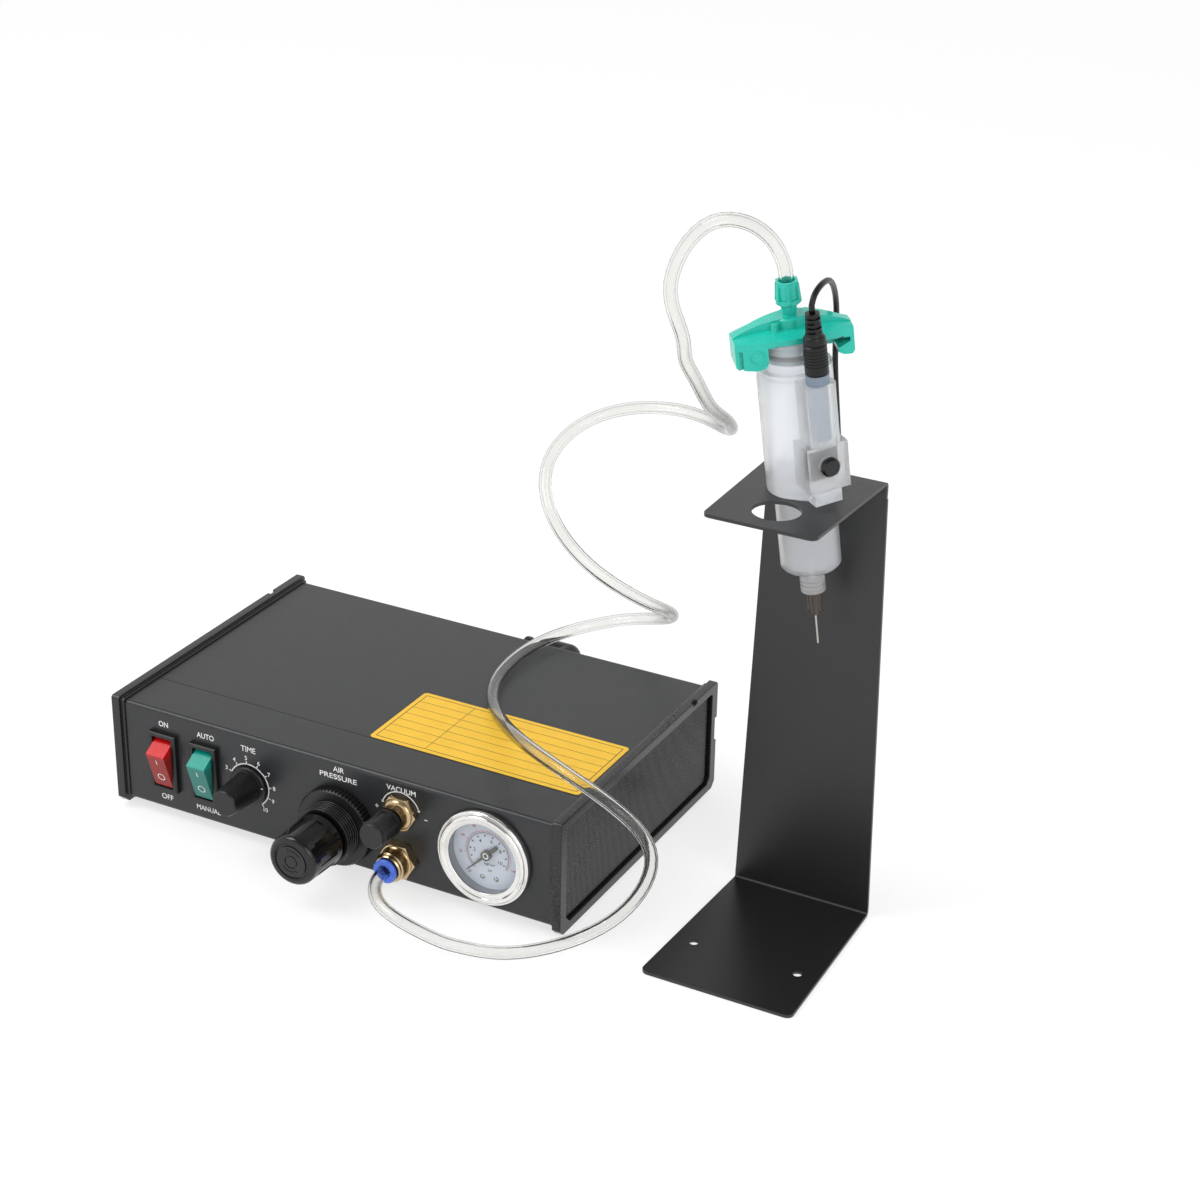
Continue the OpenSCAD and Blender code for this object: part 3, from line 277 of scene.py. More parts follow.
def ramp(tree, source, low, high, start=NOISE_LOW, end=NOISE_HIGH):
    """A colour that runs from low to high while the source runs from start to end."""
    node = tree.nodes.new("ShaderNodeValToRGB")
    for element, position, colour in zip(node.color_ramp.elements, (start, end), (low, high)):
        element.position = position
        element.color = (*colour, 1)
    tree.links.new(source, node.inputs["Fac"])
    return node.outputs["Color"]


def span(tree, source, low, high, start=NOISE_LOW, end=NOISE_HIGH):
    """A number that runs from low to high while the source runs from start to end."""
    node = tree.nodes.new("ShaderNodeMapRange")
    for socket, value in (("From Min", start), ("From Max", end),
                          ("To Min", low), ("To Max", high)):
        node.inputs[socket].default_value = value
    tree.links.new(source, node.inputs["Value"])
    return node.outputs["Result"]


def height_of(tree, coordinates):
    """The Z of a place on the object, or of a direction in the world."""
    place = tree.nodes.new("ShaderNodeTexCoord")
    parts = tree.nodes.new("ShaderNodeSeparateXYZ")
    tree.links.new(place.outputs[coordinates], parts.inputs["Vector"])
    return parts.outputs["Z"]


def larger(tree, first, second):
    """The larger of two numbers."""
    node = tree.nodes.new("ShaderNodeMath")
    node.operation = "MAXIMUM"
    tree.links.new(first, node.inputs[0])
    tree.links.new(second, node.inputs[1])
    return node.outputs["Value"]


def choose(tree, factor, first, second):
    """Shows the first shader where the factor is 0, and the second where it is 1."""
    choice = tree.nodes.new("ShaderNodeMixShader")
    tree.links.new(factor, choice.inputs["Fac"])
    tree.links.new(first.outputs[0], choice.inputs[1])
    tree.links.new(second.outputs[0], choice.inputs[2])
    tree.links.new(choice.outputs["Shader"], tree.nodes["Material Output"].inputs["Surface"])


def relief(tree, shader, height, depth):
    """Bumps of the given depth in millimetres, from a height of 0 to 1."""
    node = tree.nodes.new("ShaderNodeBump")
    node.inputs["Distance"].default_value = depth * MM
    tree.links.new(height, node.inputs["Height"])
    tree.links.new(node.outputs["Normal"], shader.inputs["Normal"])


def finish(name, colour, roughness, grain=0.4, depth=0.02, mottle=0.08, stretch=(1, 1, 1),
           detail=3.0, **fixed):
    """A solid surface: its colour and gloss vary a little, and a fine grain covers it.

    grain is the width and depth the height of the grain, in millimetres. mottle is how far
    the colour strays, and fixed are further sockets of the shader with their values."""
    patch = 9
    glossy, dull = 0.85, 1.2
    material, tree, shader = new_material(name)
    broad = noise(tree, patch)
    low = [c * (1 - mottle) for c in colour]
    high = [min(c * (1 + mottle), 1) for c in colour]
    tree.links.new(ramp(tree, broad, low, high), shader.inputs["Base Color"])
    fine = noise(tree, grain, stretch, detail)
    tree.links.new(span(tree, fine, roughness * glossy, roughness * dull),
                   shader.inputs["Roughness"])
    relief(tree, shader, fine, depth)
    for socket, value in fixed.items():
        shader.inputs[socket.replace("_", " ")].default_value = value
    return material


def see_through(name, colour, roughness, clear, index, grain, depth, painted_edge_level=1.0, coat=0.0):
    """A clear or milky plastic or glass; its shadow stays light.

    clear is the share of light that goes through. The colour is painted darker where the wall
    is seen along its surface, down to the given edge level: painted shade on the rims, in place
    of the darker surroundings that a clear wall shows there. The roughness varies only a little,
    because larger steps render as blotches."""
    shade = 0.985
    glossy, dull = 0.96, 1.04
    face_on, along = 0.4, 0.9
    material, tree, shader = new_material(name)
    wavy = noise(tree, grain, detail=1.0)
    facing = tree.nodes.new("ShaderNodeLayerWeight")
    facing.inputs["Blend"].default_value = 0.5
    # Painted shade: the colour darkens towards the edge level where the wall is seen edge-on.
    painted_rim_shade = ramp(tree, facing.outputs["Facing"], (1, 1, 1), (painted_edge_level, painted_edge_level, painted_edge_level * 0.99),
               face_on, along)
    tone_and_painted_rim_shade = tree.nodes.new("ShaderNodeMixRGB")
    tone_and_painted_rim_shade.blend_type = "MULTIPLY"
    tone_and_painted_rim_shade.inputs["Fac"].default_value = 1
    tree.links.new(ramp(tree, wavy, [c * shade for c in colour], colour), tone_and_painted_rim_shade.inputs["Color1"])
    tree.links.new(painted_rim_shade, tone_and_painted_rim_shade.inputs["Color2"])
    tree.links.new(tone_and_painted_rim_shade.outputs["Color"], shader.inputs["Base Color"])
    tree.links.new(span(tree, wavy, roughness * glossy, roughness * dull),
                   shader.inputs["Roughness"])
    relief(tree, shader, wavy, depth)
    shader.inputs["IOR"].default_value = index
    shader.inputs["Transmission Weight"].default_value = clear
    shader.inputs["Coat Weight"].default_value = coat
    shader.inputs["Coat Roughness"].default_value = 0.05
    path = tree.nodes.new("ShaderNodeLightPath")
    gap = tree.nodes.new("ShaderNodeBsdfTransparent")
    gap.inputs["Color"].default_value = (0.9, 0.91, 0.92, 1)
    choose(tree, path.outputs["Is Shadow Ray"], shader, gap)
    return material


# Materials


def materials():
    """A material for each slot of the record, put on every CAD node."""
    made = {
        "case_paint": finish("case_paint", (0.0185, 0.0195, 0.0215), 0.33, grain=0.55,
                             depth=0.018),
        "cheek_plastic": finish("cheek_plastic", (0.011, 0.011, 0.012), 0.26, grain=0.9,
                                depth=0.006),
        "stand_paint": finish("stand_paint", (0.006, 0.006, 0.0065), 0.38, grain=0.5,
                              depth=0.01, IOR=1.6),
        "rubber": finish("rubber", (0.02, 0.02, 0.02), 0.75, grain=0.3, depth=0.03),
        "steel": finish("steel", (0.62, 0.62, 0.63), 0.3, grain=0.5, depth=0.004, Metallic=1.0),
        "needle_steel": finish("needle_steel", (0.46, 0.45, 0.44), 0.2, grain=0.1, depth=0.002,
                               stretch=(1, 1, 0.05), Metallic=1.0),
        "black_gloss": finish("black_gloss", (0.005, 0.005, 0.0055), 0.17, grain=4,
                              depth=0.003, detail=1.0),
        "black_matte": finish("black_matte", (0.007, 0.007, 0.0075), 0.38, grain=0.5,
                              depth=0.008),
        # The edge level of each clear material sets its painted shade on the rims; the tube's
        # rims are painted nearly black.
        "hub": see_through("hub", (0.17, 0.14, 0.122), 0.3, 0.65, 1.1, grain=2, depth=0.003,
                           painted_edge_level=0.7, coat=0.6),
        "brass": finish("brass", (0.56, 0.425, 0.25), 0.2, grain=1.2, depth=0.002, mottle=0.06,
                        detail=1.0, Metallic=1.0),
        "blue_collar": finish("blue_collar", (0.075, 0.17, 0.72), 0.26, grain=2, depth=0.004,
                              detail=1.0),
        "chrome": finish("chrome", (0.84, 0.83, 0.81), 0.09, grain=12, depth=0.004, mottle=0.02,
                         detail=1.0, Metallic=1.0),
        "dial": finish("dial", (0.68, 0.72, 0.80), 0.5, grain=0.4, depth=0.002, mottle=0.03),
        "pointer": finish("pointer", (0.115, 0.12, 0.105), 0.4, grain=0.3, depth=0.003),
        "board": finish("board", (0.03, 0.16, 0.07), 0.4, grain=1.5, depth=0.03, mottle=0.3),
        "alloy": finish("alloy", (0.6, 0.61, 0.63), 0.32, grain=0.5, depth=0.01,
                        stretch=(1, 0.1, 1), Metallic=1.0),
        "hose_blue": finish("hose_blue", (0.04, 0.18, 0.6), 0.3, grain=0.8, depth=0.01),
        "jack_grey": finish("jack_grey", (0.20, 0.25, 0.32), 0.35, grain=0.8, depth=0.006),
        "adapter_green": finish("adapter_green", (0.012, 0.53, 0.42), 0.26, grain=5,
                                depth=0.004, mottle=0.04, detail=1.0),
        "plug_grey": finish("plug_grey", (0.30, 0.38, 0.40), 0.4, grain=0.8, depth=0.006),
        "cable_black": finish("cable_black", (0.005, 0.005, 0.0055), 0.36, grain=0.8,
                              depth=0.006, Specular_IOR_Level=0.35),
        "lens": see_through("lens", (0.99, 0.995, 1.0), 0.01, 1.0, 1.3, grain=60, depth=0.001),
        "tube_clear": see_through("tube_clear", (0.93, 0.93, 0.915), 0.02, 1.0, 1.3, grain=20,
                                  depth=0.003, painted_edge_level=0.02),
        "clear_barrel": see_through("clear_barrel", (0.955, 0.965, 0.982), 0.34, 0.86, 1.08,
                                    grain=6, depth=0.004, painted_edge_level=0.85, coat=0.5),
        "milky_sleeve": see_through("milky_sleeve", (0.965, 0.972, 0.98), 0.32, 0.82, 1.08,
                                    grain=6, depth=0.004, painted_edge_level=0.7, coat=0.5),
        "clear_housing": see_through("clear_housing", (0.96, 0.965, 0.97), 0.3, 0.88, 1.1,
                                     grain=6, depth=0.004, painted_edge_level=0.5, coat=0.8),
        # The rockers are painted lighter on top and darker below: painted light and painted
        # shade.
        "red_rocker": rocker_plastic("red_rocker", (0.62, 0.006, 0.008), (0.30, 0.02, 0.018)),
        "green_rocker": rocker_plastic("green_rocker", (0.008, 0.33, 0.26), (0.03, 0.21, 0.18)),
    }
    for node in nodes.values():
        for place in node.material_slots:
            place.material = made[place.material.name.split(".")[0]]
    nodes["barrel_sleeve"].material_slots[0].material = made["milky_sleeve"]
    return made


def rocker_plastic(name, painted_lit_colour, painted_shade_colour):
    """Glossy plastic painted lighter above a height of the panel and darker below it: a painted
    lit top, and painted shade on the face and sides.
    """
    painted_light_fade = [(POWER_AT[1] + k) * MM for k in (4.5, 6.5)]
    material = finish(name, painted_lit_colour, 0.2, grain=3, depth=0.003, detail=1.0,
                      Specular_IOR_Level=0.25)
    tree = material.node_tree
    # Painted light: the colour runs from painted shade below this height to a painted lit top
    # above it.
    painted_lit_share = span(tree, height_of(tree, "Object"), 0, 1, *painted_light_fade)
    tree.links.new(ramp(tree, painted_lit_share, painted_shade_colour, painted_lit_colour, 0, 1),
                   tree.nodes["Principled BSDF"].inputs["Base Color"])
    return material


def soften(name, width):
    """Rounds the sharp edges of a part, so that they catch the light."""
    same_place = 1e-6
    same_plane = math.radians(0.4)
    sharp = math.radians(35)
    node = nodes[name]
    weld = node.modifiers.new("weld", "WELD")
    weld.merge_threshold = same_place
    flat = node.modifiers.new("flat", "DECIMATE")
    flat.decimate_type = "DISSOLVE"
    flat.angle_limit = same_plane
    bevel = node.modifiers.new("bevel", "BEVEL")
    bevel.width = width * MM
    bevel.segments = 2
    bevel.limit_method = "ANGLE"
    bevel.angle_limit = sharp
    bevel.use_clamp_overlap = True
    normals = node.modifiers.new("normals", "WEIGHTED_NORMAL")
    normals.keep_sharp = False


def soft_edges():
    """The widths of the rounded edges, in millimetres."""
    for name, width in (
        ("chassis", 0.4), ("right_cheek", 0.6), ("left_cheek", 0.6), ("stand", 0.3),
        ("regulator_knob", 0.3), ("regulator_ring_nut", 0.15), ("time_knob", 0.25),
        ("vacuum_knob", 0.2), ("vacuum_panel_nut", 0.15), ("outlet_fitting", 0.12),
        ("power_rocker", 0.25), ("mode_rocker", 0.25), ("power_switch_body", 0.2),
        ("mode_switch_body", 0.2), ("adapter_cap", 0.3), ("regulator_body", 0.12),
        ("tube_nut", 0.2), ("trigger_housing", 0.15), ("trigger_plug", 0.12),
    ):
        soften(name, width)


# Cords


def air_tube(look):
    """The clear tube with its bore, from inside the outlet to inside the tube nut."""
    sides, bore_sides = 24, 16
    line = [Vector(TUBE_ROUTE[0]) + Vector((0, TUBE_IN_OUTLET, 0))] + smooth(TUBE_ROUTE, 6)
    line += [on_syringe(0, 0, NUT_TOP - 3), on_syringe(0, 0, NECK_TOP)]
    bm = bmesh.new()
    first, last = sweep(bm, line, TUBE_D / 2, sides)
    bore_first, bore_last = sweep(bm, line, TUBE_BORE / 2, bore_sides, inward=True)
    bmesh.ops.bridge_loops(bm, edges=ring_edges(first) + ring_edges(bore_first))
    bmesh.ops.bridge_loops(bm, edges=ring_edges(last) + ring_edges(bore_last))
    piece = mesh_piece("air_tube", bm)
    piece.data.materials.append(look["tube_clear"])
    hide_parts("air_tube_lower", "air_tube_upper")
    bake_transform(piece)


def coil_line():
    """The turns of the coil: each takes its own place, and steps to the next near its end."""
    per_turn = 28
    stay, step = 0.8, 0.2
    total = len(COIL_PLACES) * 360 + COIL_END - COIL_START
    count = int(per_turn * total / 360)
    line = []
    for i in range(count + 1):
        turns = i / count * total / 360
        whole = min(int(turns), len(COIL_PLACES) - 1)
        here = COIL_PLACES[whole]
        after = COIL_PLACES[min(whole + 1, len(COIL_PLACES) - 1)]
        shift = min(max((turns - whole - stay) / step, 0), 1)
        shift = shift * shift * (3 - 2 * shift)
        r = here[0] + (after[0] - here[0]) * shift
        z = here[1] + (after[1] - here[1]) * shift
        angle = math.radians(COIL_START + total * i / count)
        line.append(COIL_AT + Vector((r * math.cos(angle), r * math.sin(angle), z)))
    return line


def trigger_cable(look):
    """The cable from the switch's plug over the back of the stand, its coil and loose end."""
    sides = 10
    line = [on_syringe(TRIGGER_R, 0, RELIEF_TOP + z, TRIGGER_TURN) for z in (0, 1.5)]
    line += smooth(CABLE_ROUTE, 5)
    line += coil_line()[1:-1]
    line += smooth(TAIL_ROUTE, 5) + [PLUG_REST]
    bm = bmesh.new()
    first, last = sweep(bm, line, CABLE_D / 2, sides)
    bm.faces.new(tuple(reversed(first)))
    bm.faces.new(last)
    piece = mesh_piece("trigger_cable", bm)
    piece.data.materials.append(look["cable_black"])
    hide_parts("trigger_cable_upper", "trigger_cable_lower", "trigger_coil")
    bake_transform(piece)


# Printing


def at_angle(radius, angle, centre=(0, 0)):
    """A point round a centre, in degrees counted from the right, against the clock."""
    a = math.radians(angle)
    return centre[0] + radius * math.cos(a), centre[1] + radius * math.sin(a)


class Print:
    """Flat shapes on one plane, gathered into one piece. Sizes are in millimetres."""

    letter_weight = 0.012

    def __init__(self, matrix):
        self.matrix = matrix
        self.bm = bmesh.new()

    def polygon(self, points):
        """One flat face."""
        self.bm.faces.new([self.bm.verts.new(self.matrix @ Vector((*p, 0))) for p in points])

    def bar(self, a, b, width):
        """A straight line from a to b."""
        a, b = Vector(a), Vector(b)
        side = (b - a).orthogonal().normalized() * width / 2
        self.polygon([a + side, a - side, b - side, b + side])

    def arc(self, centre, radius, width, start=0, end=360, steps=48):
        """A line along an arc, from an angle to another."""
        for k in range(steps):
            angles = [start + (end - start) * j / steps for j in (k, k + 1)]
            inner, outer = ([at_angle(r, a, centre) for a in angles]
                            for r in (radius - width / 2, radius + width / 2))
            self.polygon([inner[0], outer[0], outer[1], inner[1]])

    def dot(self, centre, radius):
        """A filled disc."""
        self.polygon([at_angle(radius, a, centre) for a in range(0, 360, 24)])

    def text(self, words, centre, height, width=None):
        """Capitals or figures of a height, fitted to a width where one is given."""
        curve = bpy.data.curves.new("lettering", "FONT")
        curve.body = words
        curve.offset = self.letter_weight
        letters = bpy.data.objects.new("lettering", curve)
        scene.collection.objects.link(letters)
        mesh = bpy.data.meshes.new_from_object(
            letters.evaluated_get(bpy.context.evaluated_depsgraph_get()))
        low = [min(v.co[k] for v in mesh.vertices) for k in (0, 1)]
        high = [max(v.co[k] for v in mesh.vertices) for k in (0, 1)]
        tall = height / (high[1] - low[1])
        wide = width / (high[0] - low[0]) if width else tall
        middle = Vector(((low[0] + high[0]) / 2, (low[1] + high[1]) / 2, 0))
        mesh.transform(self.matrix @ Matrix.Translation((*centre, 0))
                       @ Matrix.Diagonal((wide, tall, 1, 1)) @ Matrix.Translation(-middle))
        self.bm.from_mesh(mesh)
        bpy.data.objects.remove(letters)
        bpy.data.curves.remove(curve)
        bpy.data.meshes.remove(mesh)

    def piece(self, name, ink, body):
        """The finished print, as a piece that rides on a body."""
        piece = mesh_piece(name, self.bm, smooth_shade=False)
        piece.data.materials.append(ink)
        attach(piece, body)
        return piece


def panel_print(ink):
    """The names of the controls, the timer's scale and the vacuum valve's arc and signs."""
    sheet = Print(on_panel((0, 0), PRINT_GAP))
    for words, centre, height, width in (
        ("ON", (-92.1, 50.2), 2.8, 5.3), ("OFF", (-92.2, 11.5), 2.8, 6.6),
        ("AUTO", (-68.3, 50.2), 2.8, 9.6), ("MANUAL", (-68.6, 11.4), 2.6, 13.5),
        ("TIME", (-44.4, 50.0), 2.8, 8.0),
        ("AIR", (4.9, 53.2), 2.6, 5.8), ("PRESSURE", (4.6, 49.2), 2.6, 19.8),
        ("VACUUM", (37.8, 52.1), 2.6, 15.2),
    ):
        sheet.text(words, centre, height, width)

    scale_r, tick_r, figure_r = 10.7, 12.2, 13.8
    first, last = 155, -52
    figures = range(3, 11)
    sheet.arc(TIME_AT, scale_r, 0.55, first, last, steps=40)
    for i, figure in enumerate(figures):
        angle = first + (last - first) * i / (len(figures) - 1)
        sheet.bar(at_angle(scale_r, angle, TIME_AT), at_angle(tick_r, angle, TIME_AT), 0.5)
        sheet.text(str(figure), at_angle(figure_r, angle, TIME_AT), 2.2)

    turn_r = 9.9
    opened, closed = 162, 18
    stroke = 0.45
    sheet.arc(VACUUM_AT, turn_r, 0.5, opened, closed, steps=30)
    for angle in (opened, closed):
        sheet.dot(at_angle(turn_r, angle, VACUUM_AT), 0.65)
    for a, b in (((24.0, 40.7), (25.8, 40.7)), ((24.9, 39.8), (24.9, 41.6)),
                 ((49.7, 40.4), (51.5, 40.4))):
        sheet.bar(a, b, stroke)
    sheet.piece("panel_print", ink, "root")


def rocker_marks(ink):
    """The ring at the foot and the bar at the head of each rocker's face."""
    stroke = 0.42
    for body, at in (("power_rocker", POWER_AT), ("mode_rocker", MODE_AT)):
        marks = Print(on_rocker(at))
        marks.arc((0, -3.9), 1.85, stroke, steps=28)
        marks.bar((0, 4.2), (0, 7.0), stroke)
        marks.piece(body + "_marks", ink, body)


def knob_marks(ink):
    """The pointer line on the timer knob's skirt."""
    skirt, angle = 2.2, 8
    mark = Print(on_panel(TIME_AT, skirt + PRINT_GAP))
    mark.bar(at_angle(8.0, angle), at_angle(9.0, angle), 0.6)
    mark.piece("time_knob_mark", ink, "time_knob")


def gauge_print(look):
    """The printed dial: pressure inside in black, a second unit outside in red."""
    arc_from, arc_to = -32, 232
    black_r = 10.5
    black = Print(on_panel(GAUGE_AT, DIAL_Z + DIAL_PRINT_GAP))
    black.arc((0, 0), black_r, 0.22, arc_from, arc_to, steps=60)
    for value in range(11):
        angle = SCALE_START + SCALE_PER_UNIT * value
        black.dot(at_angle(8.9, angle), 0.42)
        if value % 2 == 0:
            black.text(str(value), at_angle(6.9, angle), 1.8)
    for tick in range(51):
        angle = SCALE_START + SCALE_PER_UNIT * tick / 5
        length = 0.8 if tick % 5 else 1.3
        black.bar(at_angle(black_r - length, angle), at_angle(black_r, angle), 0.18)
    black.text("kgf/cm²", (0.9, -5.4), 1.8)
    black.text("psi", (0.9, -8.4), 1.7)
    black.piece("dial_print_black", look["ink_black"], "root")

    red_r = 11.2
    red = Print(on_panel(GAUGE_AT, DIAL_Z + DIAL_PRINT_GAP))
    red.arc((0, 0), red_r, 0.2, arc_from, arc_to, steps=60)
    for psi in range(0, 141, 4):
        angle = SCALE_START + SCALE_PER_UNIT * psi / PSI_PER_UNIT
        length = 0.7 if psi % 20 else 1.3
        red.bar(at_angle(red_r, angle), at_angle(red_r + length, angle), 0.16)
    for psi in range(0, 141, 20):
        angle = SCALE_START + SCALE_PER_UNIT * psi / PSI_PER_UNIT
        red.text(str(psi), at_angle(14.2, angle), 1.4)
    red.piece("dial_print_red", look["ink_red"], "root")


def dome(bm, matrix, centre, radius, height):
    """A low round head that stands on a plane."""
    sides, levels = 16, 5
    smallest = 0.02
    rings = []
    for k in range(levels):
        angle = math.radians(90 * k / (levels - 1))
        r = max(radius * math.cos(angle), smallest)
        z = height * math.sin(angle)
        rings.append([bm.verts.new(matrix @ Vector((*at_angle(r, 360 / sides * j, centre), z)))
                      for j in range(sides)])
    for low, high in zip(rings, rings[1:]):
        band(bm, low, high)
    bm.faces.new(rings[-1])


def gauge_fittings(look):
    """Rivets and stop pin of the dial, the light hub of its pointer, the wall of its case."""
    dial = on_panel(GAUGE_AT, DIAL_Z)
    bm = bmesh.new()
    for centre in ((-2.8, -12.2), (4.2, -11.8)):
        dome(bm, dial, centre, 1.25, 0.8)
    dome(bm, dial, at_angle(14.6, 231), 0.55, 1.4)
    rivets = mesh_piece("dial_rivets", bm)
    rivets.data.materials.append(look["needle_steel"])
    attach(rivets, "root")

    hub_top = DIAL_Z + 2.25
    hub = Print(on_panel(GAUGE_AT, hub_top))
    hub.dot((0, 0), 1.65)
    hub.piece("pointer_hub_face", look["ink_white"], "gauge_pointer")
    slot = Print(on_panel(GAUGE_AT, hub_top + DIAL_PRINT_GAP))
    slot.bar((-0.7, -0.1), (0.7, 0.1), 0.3)
    slot.piece("pointer_hub_slot", look["ink_black"], "gauge_pointer")

    wall = bmesh.new()
    steps, wall_r = 64, 17.7
    matrix = on_panel(GAUGE_AT)
    rings = [[wall.verts.new(matrix @ Vector((*at_angle(wall_r, 360 * k / steps), z)))
              for k in range(steps)] for z in (DIAL_Z + 0.02, 2.1)]
    for k in range(steps):
        after = (k + 1) % steps
        wall.faces.new((rings[0][k], rings[1][k], rings[1][after], rings[0][after]))
    lining = mesh_piece("gauge_lining", wall)
    lining.data.materials.append(look["lining"])
    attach(lining, "root")


def bezel(look):
    """The rolled chrome ring: two ridges with a groove between, painted black as a seam and as
    painted shade in the groove, and a sloping inner lip.
    """
    profile = [(22.3, 0.2), (23.15, 0.2), (23.15, 2.4), (23.05, 3.0), (22.8, 3.45), (22.4, 3.6),
               (22.1, 3.4), (22.05, 2.7), (21.75, 2.7), (21.65, 3.5), (21.4, 4.3), (21.0, 4.75),
               (20.5, 4.88), (20.0, 4.75), (19.6, 4.35), (19.2, 3.95), (18.5, 3.78), (17.6, 3.85),
               (17.3, 3.75), (17.15, 3.45), (19.4, 3.45), (22.3, 3.45)]
    # The groove's faces are painted black: partly a seam, partly painted shade in the groove.
    shaded_seam = (6, 7, 8)
    steps = 96
    matrix = on_panel(GAUGE_AT)
    bm = bmesh.new()
    rings = [[bm.verts.new(matrix @ Vector((*at_angle(r, 360 * k / steps), z)))
              for k in range(steps)] for r, z in profile]
    for i, (low, high) in enumerate(zip(rings, rings[1:] + rings[:1])):
        for face in band(bm, low, high):
            face.material_index = int(i in shaded_seam)
    piece = mesh_piece("bezel_ring", bm)
    piece.data.materials.append(look["chrome"])
    piece.data.materials.append(look["black_gloss"])
    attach(piece, "root")
    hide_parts("gauge_bezel")


def regulator_marks(look):
    """Raised turning arrows and fine ticks on the end face of the knob."""
    face = on_panel(REGULATOR_AT, 38.52)
    base, top = -0.1, 0.2
    step = 9
    half_tick = 1.2
    bm = bmesh.new()
    for turn in (0, 180):
        for k in range(8):
            a, b = turn + 35 + k * step, turn + 35 + (k + 1) * step
            shaft = [at_angle(5.0, a), at_angle(5.8, a), at_angle(5.8, b), at_angle(5.0, b)]
            raised(bm, face, shaft, base, top)
        head = [at_angle(4.3, turn + 107), at_angle(6.5, turn + 107), at_angle(5.4, turn + 127)]
        raised(bm, face, head, base, top)
    for a in range(0, 360, step):
        tick = [at_angle(r, a + k * half_tick)
                for r, k in ((8.6, -1), (9.3, -1), (9.3, 1), (8.6, 1))]
        raised(bm, face, tick, base, top)
    piece = mesh_piece("regulator_knob_marks", bm, smooth_shade=False)
    piece.data.materials.append(look["black_gloss"])
    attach(piece, "regulator_knob")


def cheek_ribs(look):
    """The fine upright ribs that fill the sunk field of each end cheek."""
    pitch = 1.15
    front, back = -69.8, 69.8
    low, high = 8.2, 53.2
    crest = 0.45
    count = int((back - front) / pitch)
    for side, name in ((1, "right_cheek_ribs"), (-1, "left_cheek_ribs")):
        bm = bmesh.new()
        profile = []
        for k in range(count):
            y = front + k * pitch
            profile += [(y, 0), (y + 0.3, crest), (y + 0.8, crest), (y + 1.1, 0)]
        rows = []
        for y, rise in profile:
            x = side * (CHEEK_FIELD_X + rise)
            rows.append([bm.verts.new((CONTROLLER + Vector((x, y, z))) * MM)
                         for z in (low, high)])
        for a, b in zip(rows, rows[1:]):
            quad = (a[0], b[0], b[1], a[1])
            bm.faces.new(quad if side > 0 else tuple(reversed(quad)))
        piece = mesh_piece(name, bm, smooth_shade=False)
        piece.data.materials.append(look["cheek_plastic"])
        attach(piece, "root")


def on_lid(height):
    """The lid, seen from above."""
    return placed(CONTROLLER + Vector((0, 0, CASE_TOP + height)), Matrix.Identity(3))


def top_label(look):
    """A plain write-on label: a yellow sheet with rounded corners, a border and ruled lines."""
    left, right, front, back = 3.5, 112.3, -47.6, 1.5
    thickness = 0.15
    corner = 2.0
    outline = []
    for cx, cy, turn in ((right, back, 0), (left, back, 90), (left, front, 180),
                         (right, front, 270)):
        inner = (cx - math.copysign(corner, cx - (left + right) / 2),
                 cy - math.copysign(corner, cy - (front + back) / 2))
        outline += [at_angle(corner, turn + 15 * k, inner) for k in range(7)]
    bm = bmesh.new()
    raised(bm, on_lid(0), outline, 0, thickness)
    sheet = mesh_piece("top_label", bm, smooth_shade=False)
    sheet.data.materials.append(look["label_yellow"])
    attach(sheet, "root")

    inset = 2.4
    rows = 7
    first_column = 26
    x1, x2, y1, y2 = left + inset, right - inset, front + inset, back - inset
    rules = Print(on_lid(thickness + PRINT_GAP))
    for p, q in (((x1, y1), (x2, y1)), ((x2, y1), (x2, y2)), ((x2, y2), (x1, y2)),
                 ((x1, y2), (x1, y1))):
        rules.bar(p, q, 0.35)
    for k in range(1, rows):
        y = y1 + (y2 - y1) * k / rows
        rules.bar((x1, y), (x2, y), 0.22)
    rules.bar((x1 + first_column, y1), (x1 + first_column, y2), 0.22)
    rules.piece("top_label_rules", look["ink_black"], "root")


def inks(look):
    """Printing inks, the label's paper and the inner wall of the gauge."""
    for name, colour in (("ink_white", (0.87, 0.87, 0.87)), ("ink_black", (0.02, 0.02, 0.022)),
                         ("ink_red", (0.50, 0.06, 0.10))):
        look[name] = finish(name, colour, 0.5, grain=0.25, depth=0.004)
    look["label_yellow"] = finish("label_yellow", (0.88, 0.53, 0.03), 0.5, grain=0.6,
                                  depth=0.004, mottle=0.03)
    look["lining"] = finish("lining", (0.24, 0.25, 0.27), 0.45, grain=0.6, depth=0.01)


# Studio


def camera():
    """The photograph's viewpoint."""
    yaw, pitch, roll = (math.radians(a) for a in CAMERA_ANGLES)
    ahead = Vector((math.sin(yaw) * math.cos(pitch), math.cos(yaw) * math.cos(pitch),
                    -math.sin(pitch)))
    right = Vector((math.cos(yaw), -math.sin(yaw), 0))
    up = right.cross(ahead)
    side = math.cos(roll) * right + math.sin(roll) * up
    top = -math.sin(roll) * right + math.cos(roll) * up
    data = bpy.data.cameras.new("camera")
    data.lens = LENS
    data.sensor_width = SENSOR
    data.clip_start = 0.01
    rig = bpy.data.objects.new("camera", data)
    turn = Matrix((side, top, -ahead)).transposed().to_4x4()
    rig.matrix_world = Matrix.Translation(CAMERA_AT) @ turn
    scene.collection.objects.link(rig)
    scene.camera = rig


def seen_directly(tree):
    """1 for what the camera sees, directly or in gloss and clear plastic; 0 for lighting."""
    path = tree.nodes.new("ShaderNodeLightPath")
    total = path.outputs["Is Camera Ray"]
    for name in ("Is Glossy Ray", "Is Transmission Ray"):
        total = larger(tree, total, path.outputs[name])
    return total


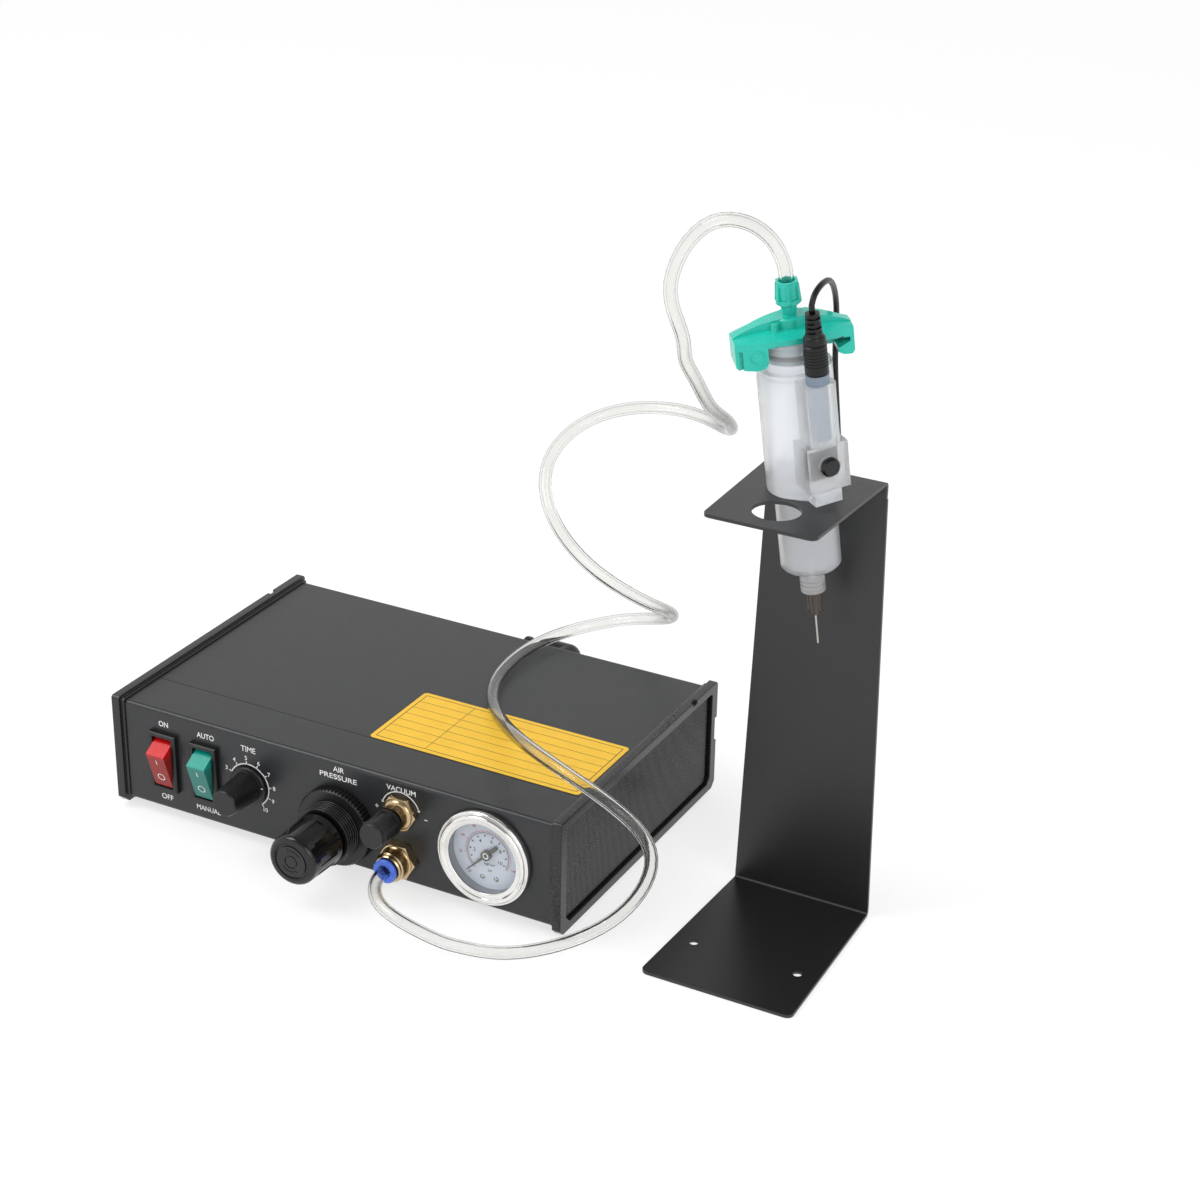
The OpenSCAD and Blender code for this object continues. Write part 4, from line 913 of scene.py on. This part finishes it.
def floor():
    """A plain pale floor that reads white and keeps a light shadow of the object."""
    half_size = 6
    drop = 0.0003
    pale, shadowed, own_light = 0.86, 0.34, 0.70
    bm = bmesh.new()
    bmesh.ops.create_grid(bm, x_segments=1, y_segments=1, size=half_size)
    piece = mesh_piece("floor", bm, smooth_shade=False)
    piece.location.z = -drop
    material, tree, shader = new_material("pale_floor")
    shader.inputs["Base Color"].default_value = (pale, pale, pale, 1)
    shader.inputs["Roughness"].default_value = 0.9
    shader.inputs["Specular IOR Level"].default_value = 0.0
    matt = tree.nodes.new("ShaderNodeBsdfDiffuse")
    matt.inputs["Color"].default_value = (shadowed, shadowed, shadowed, 1)
    glow = tree.nodes.new("ShaderNodeEmission")
    glow.inputs["Strength"].default_value = own_light
    both = tree.nodes.new("ShaderNodeAddShader")
    tree.links.new(matt.outputs["BSDF"], both.inputs[0])
    tree.links.new(glow.outputs["Emission"], both.inputs[1])
    choose(tree, seen_directly(tree), shader, both)
    piece.data.materials.append(material)


def lamp(name, place, size, power):
    """A rectangular soft light."""
    data = bpy.data.lights.new(name, "AREA")
    data.shape = "RECTANGLE"
    data.size, data.size_y = size
    data.energy = power
    rig = bpy.data.objects.new(name, data)
    rig.location = place
    rig.rotation_euler = (Vector(LAMP_AIM) - Vector(place)).to_track_quat("-Z", "Y").to_euler()
    scene.collection.objects.link(rig)


def studio():
    """A white surround under a darker ceiling, a large key lamp and a fill lamp."""
    ceiling_from, ceiling_to, ceiling_light = 0.45, 0.7, 0.3
    lighting = 0.75
    scene.view_settings.view_transform = "Standard"
    world = bpy.data.worlds.new("studio")
    world.use_nodes = True
    tree = world.node_tree
    background = tree.nodes["Background"]
    background.inputs["Color"].default_value = (1, 1, 1, 1)
    ceiling = span(tree, height_of(tree, "Generated"), 1.0, ceiling_light,
                   ceiling_from, ceiling_to)
    path = tree.nodes.new("ShaderNodeLightPath")
    backdrop = larger(tree, ceiling, path.outputs["Is Camera Ray"])
    level = tree.nodes.new("ShaderNodeMapRange")
    level.inputs["To Min"].default_value = lighting
    tree.links.new(seen_directly(tree), level.inputs["Value"])
    tree.links.new(backdrop, level.inputs["To Max"])
    tree.links.new(level.outputs["Result"], background.inputs["Strength"])
    scene.world = world
    for name, place, size, power in LAMPS:
        lamp(name, place, size, power)


camera()
look = materials()
inks(look)
soft_edges()
air_tube(look)
trigger_cable(look)
floor()
studio()
panel_print(look["ink_white"])
rocker_marks(look["ink_white"])
knob_marks(look["ink_white"])
gauge_print(look)
gauge_fittings(look)
bezel(look)
regulator_marks(look)
cheek_ribs(look)
top_label(look)
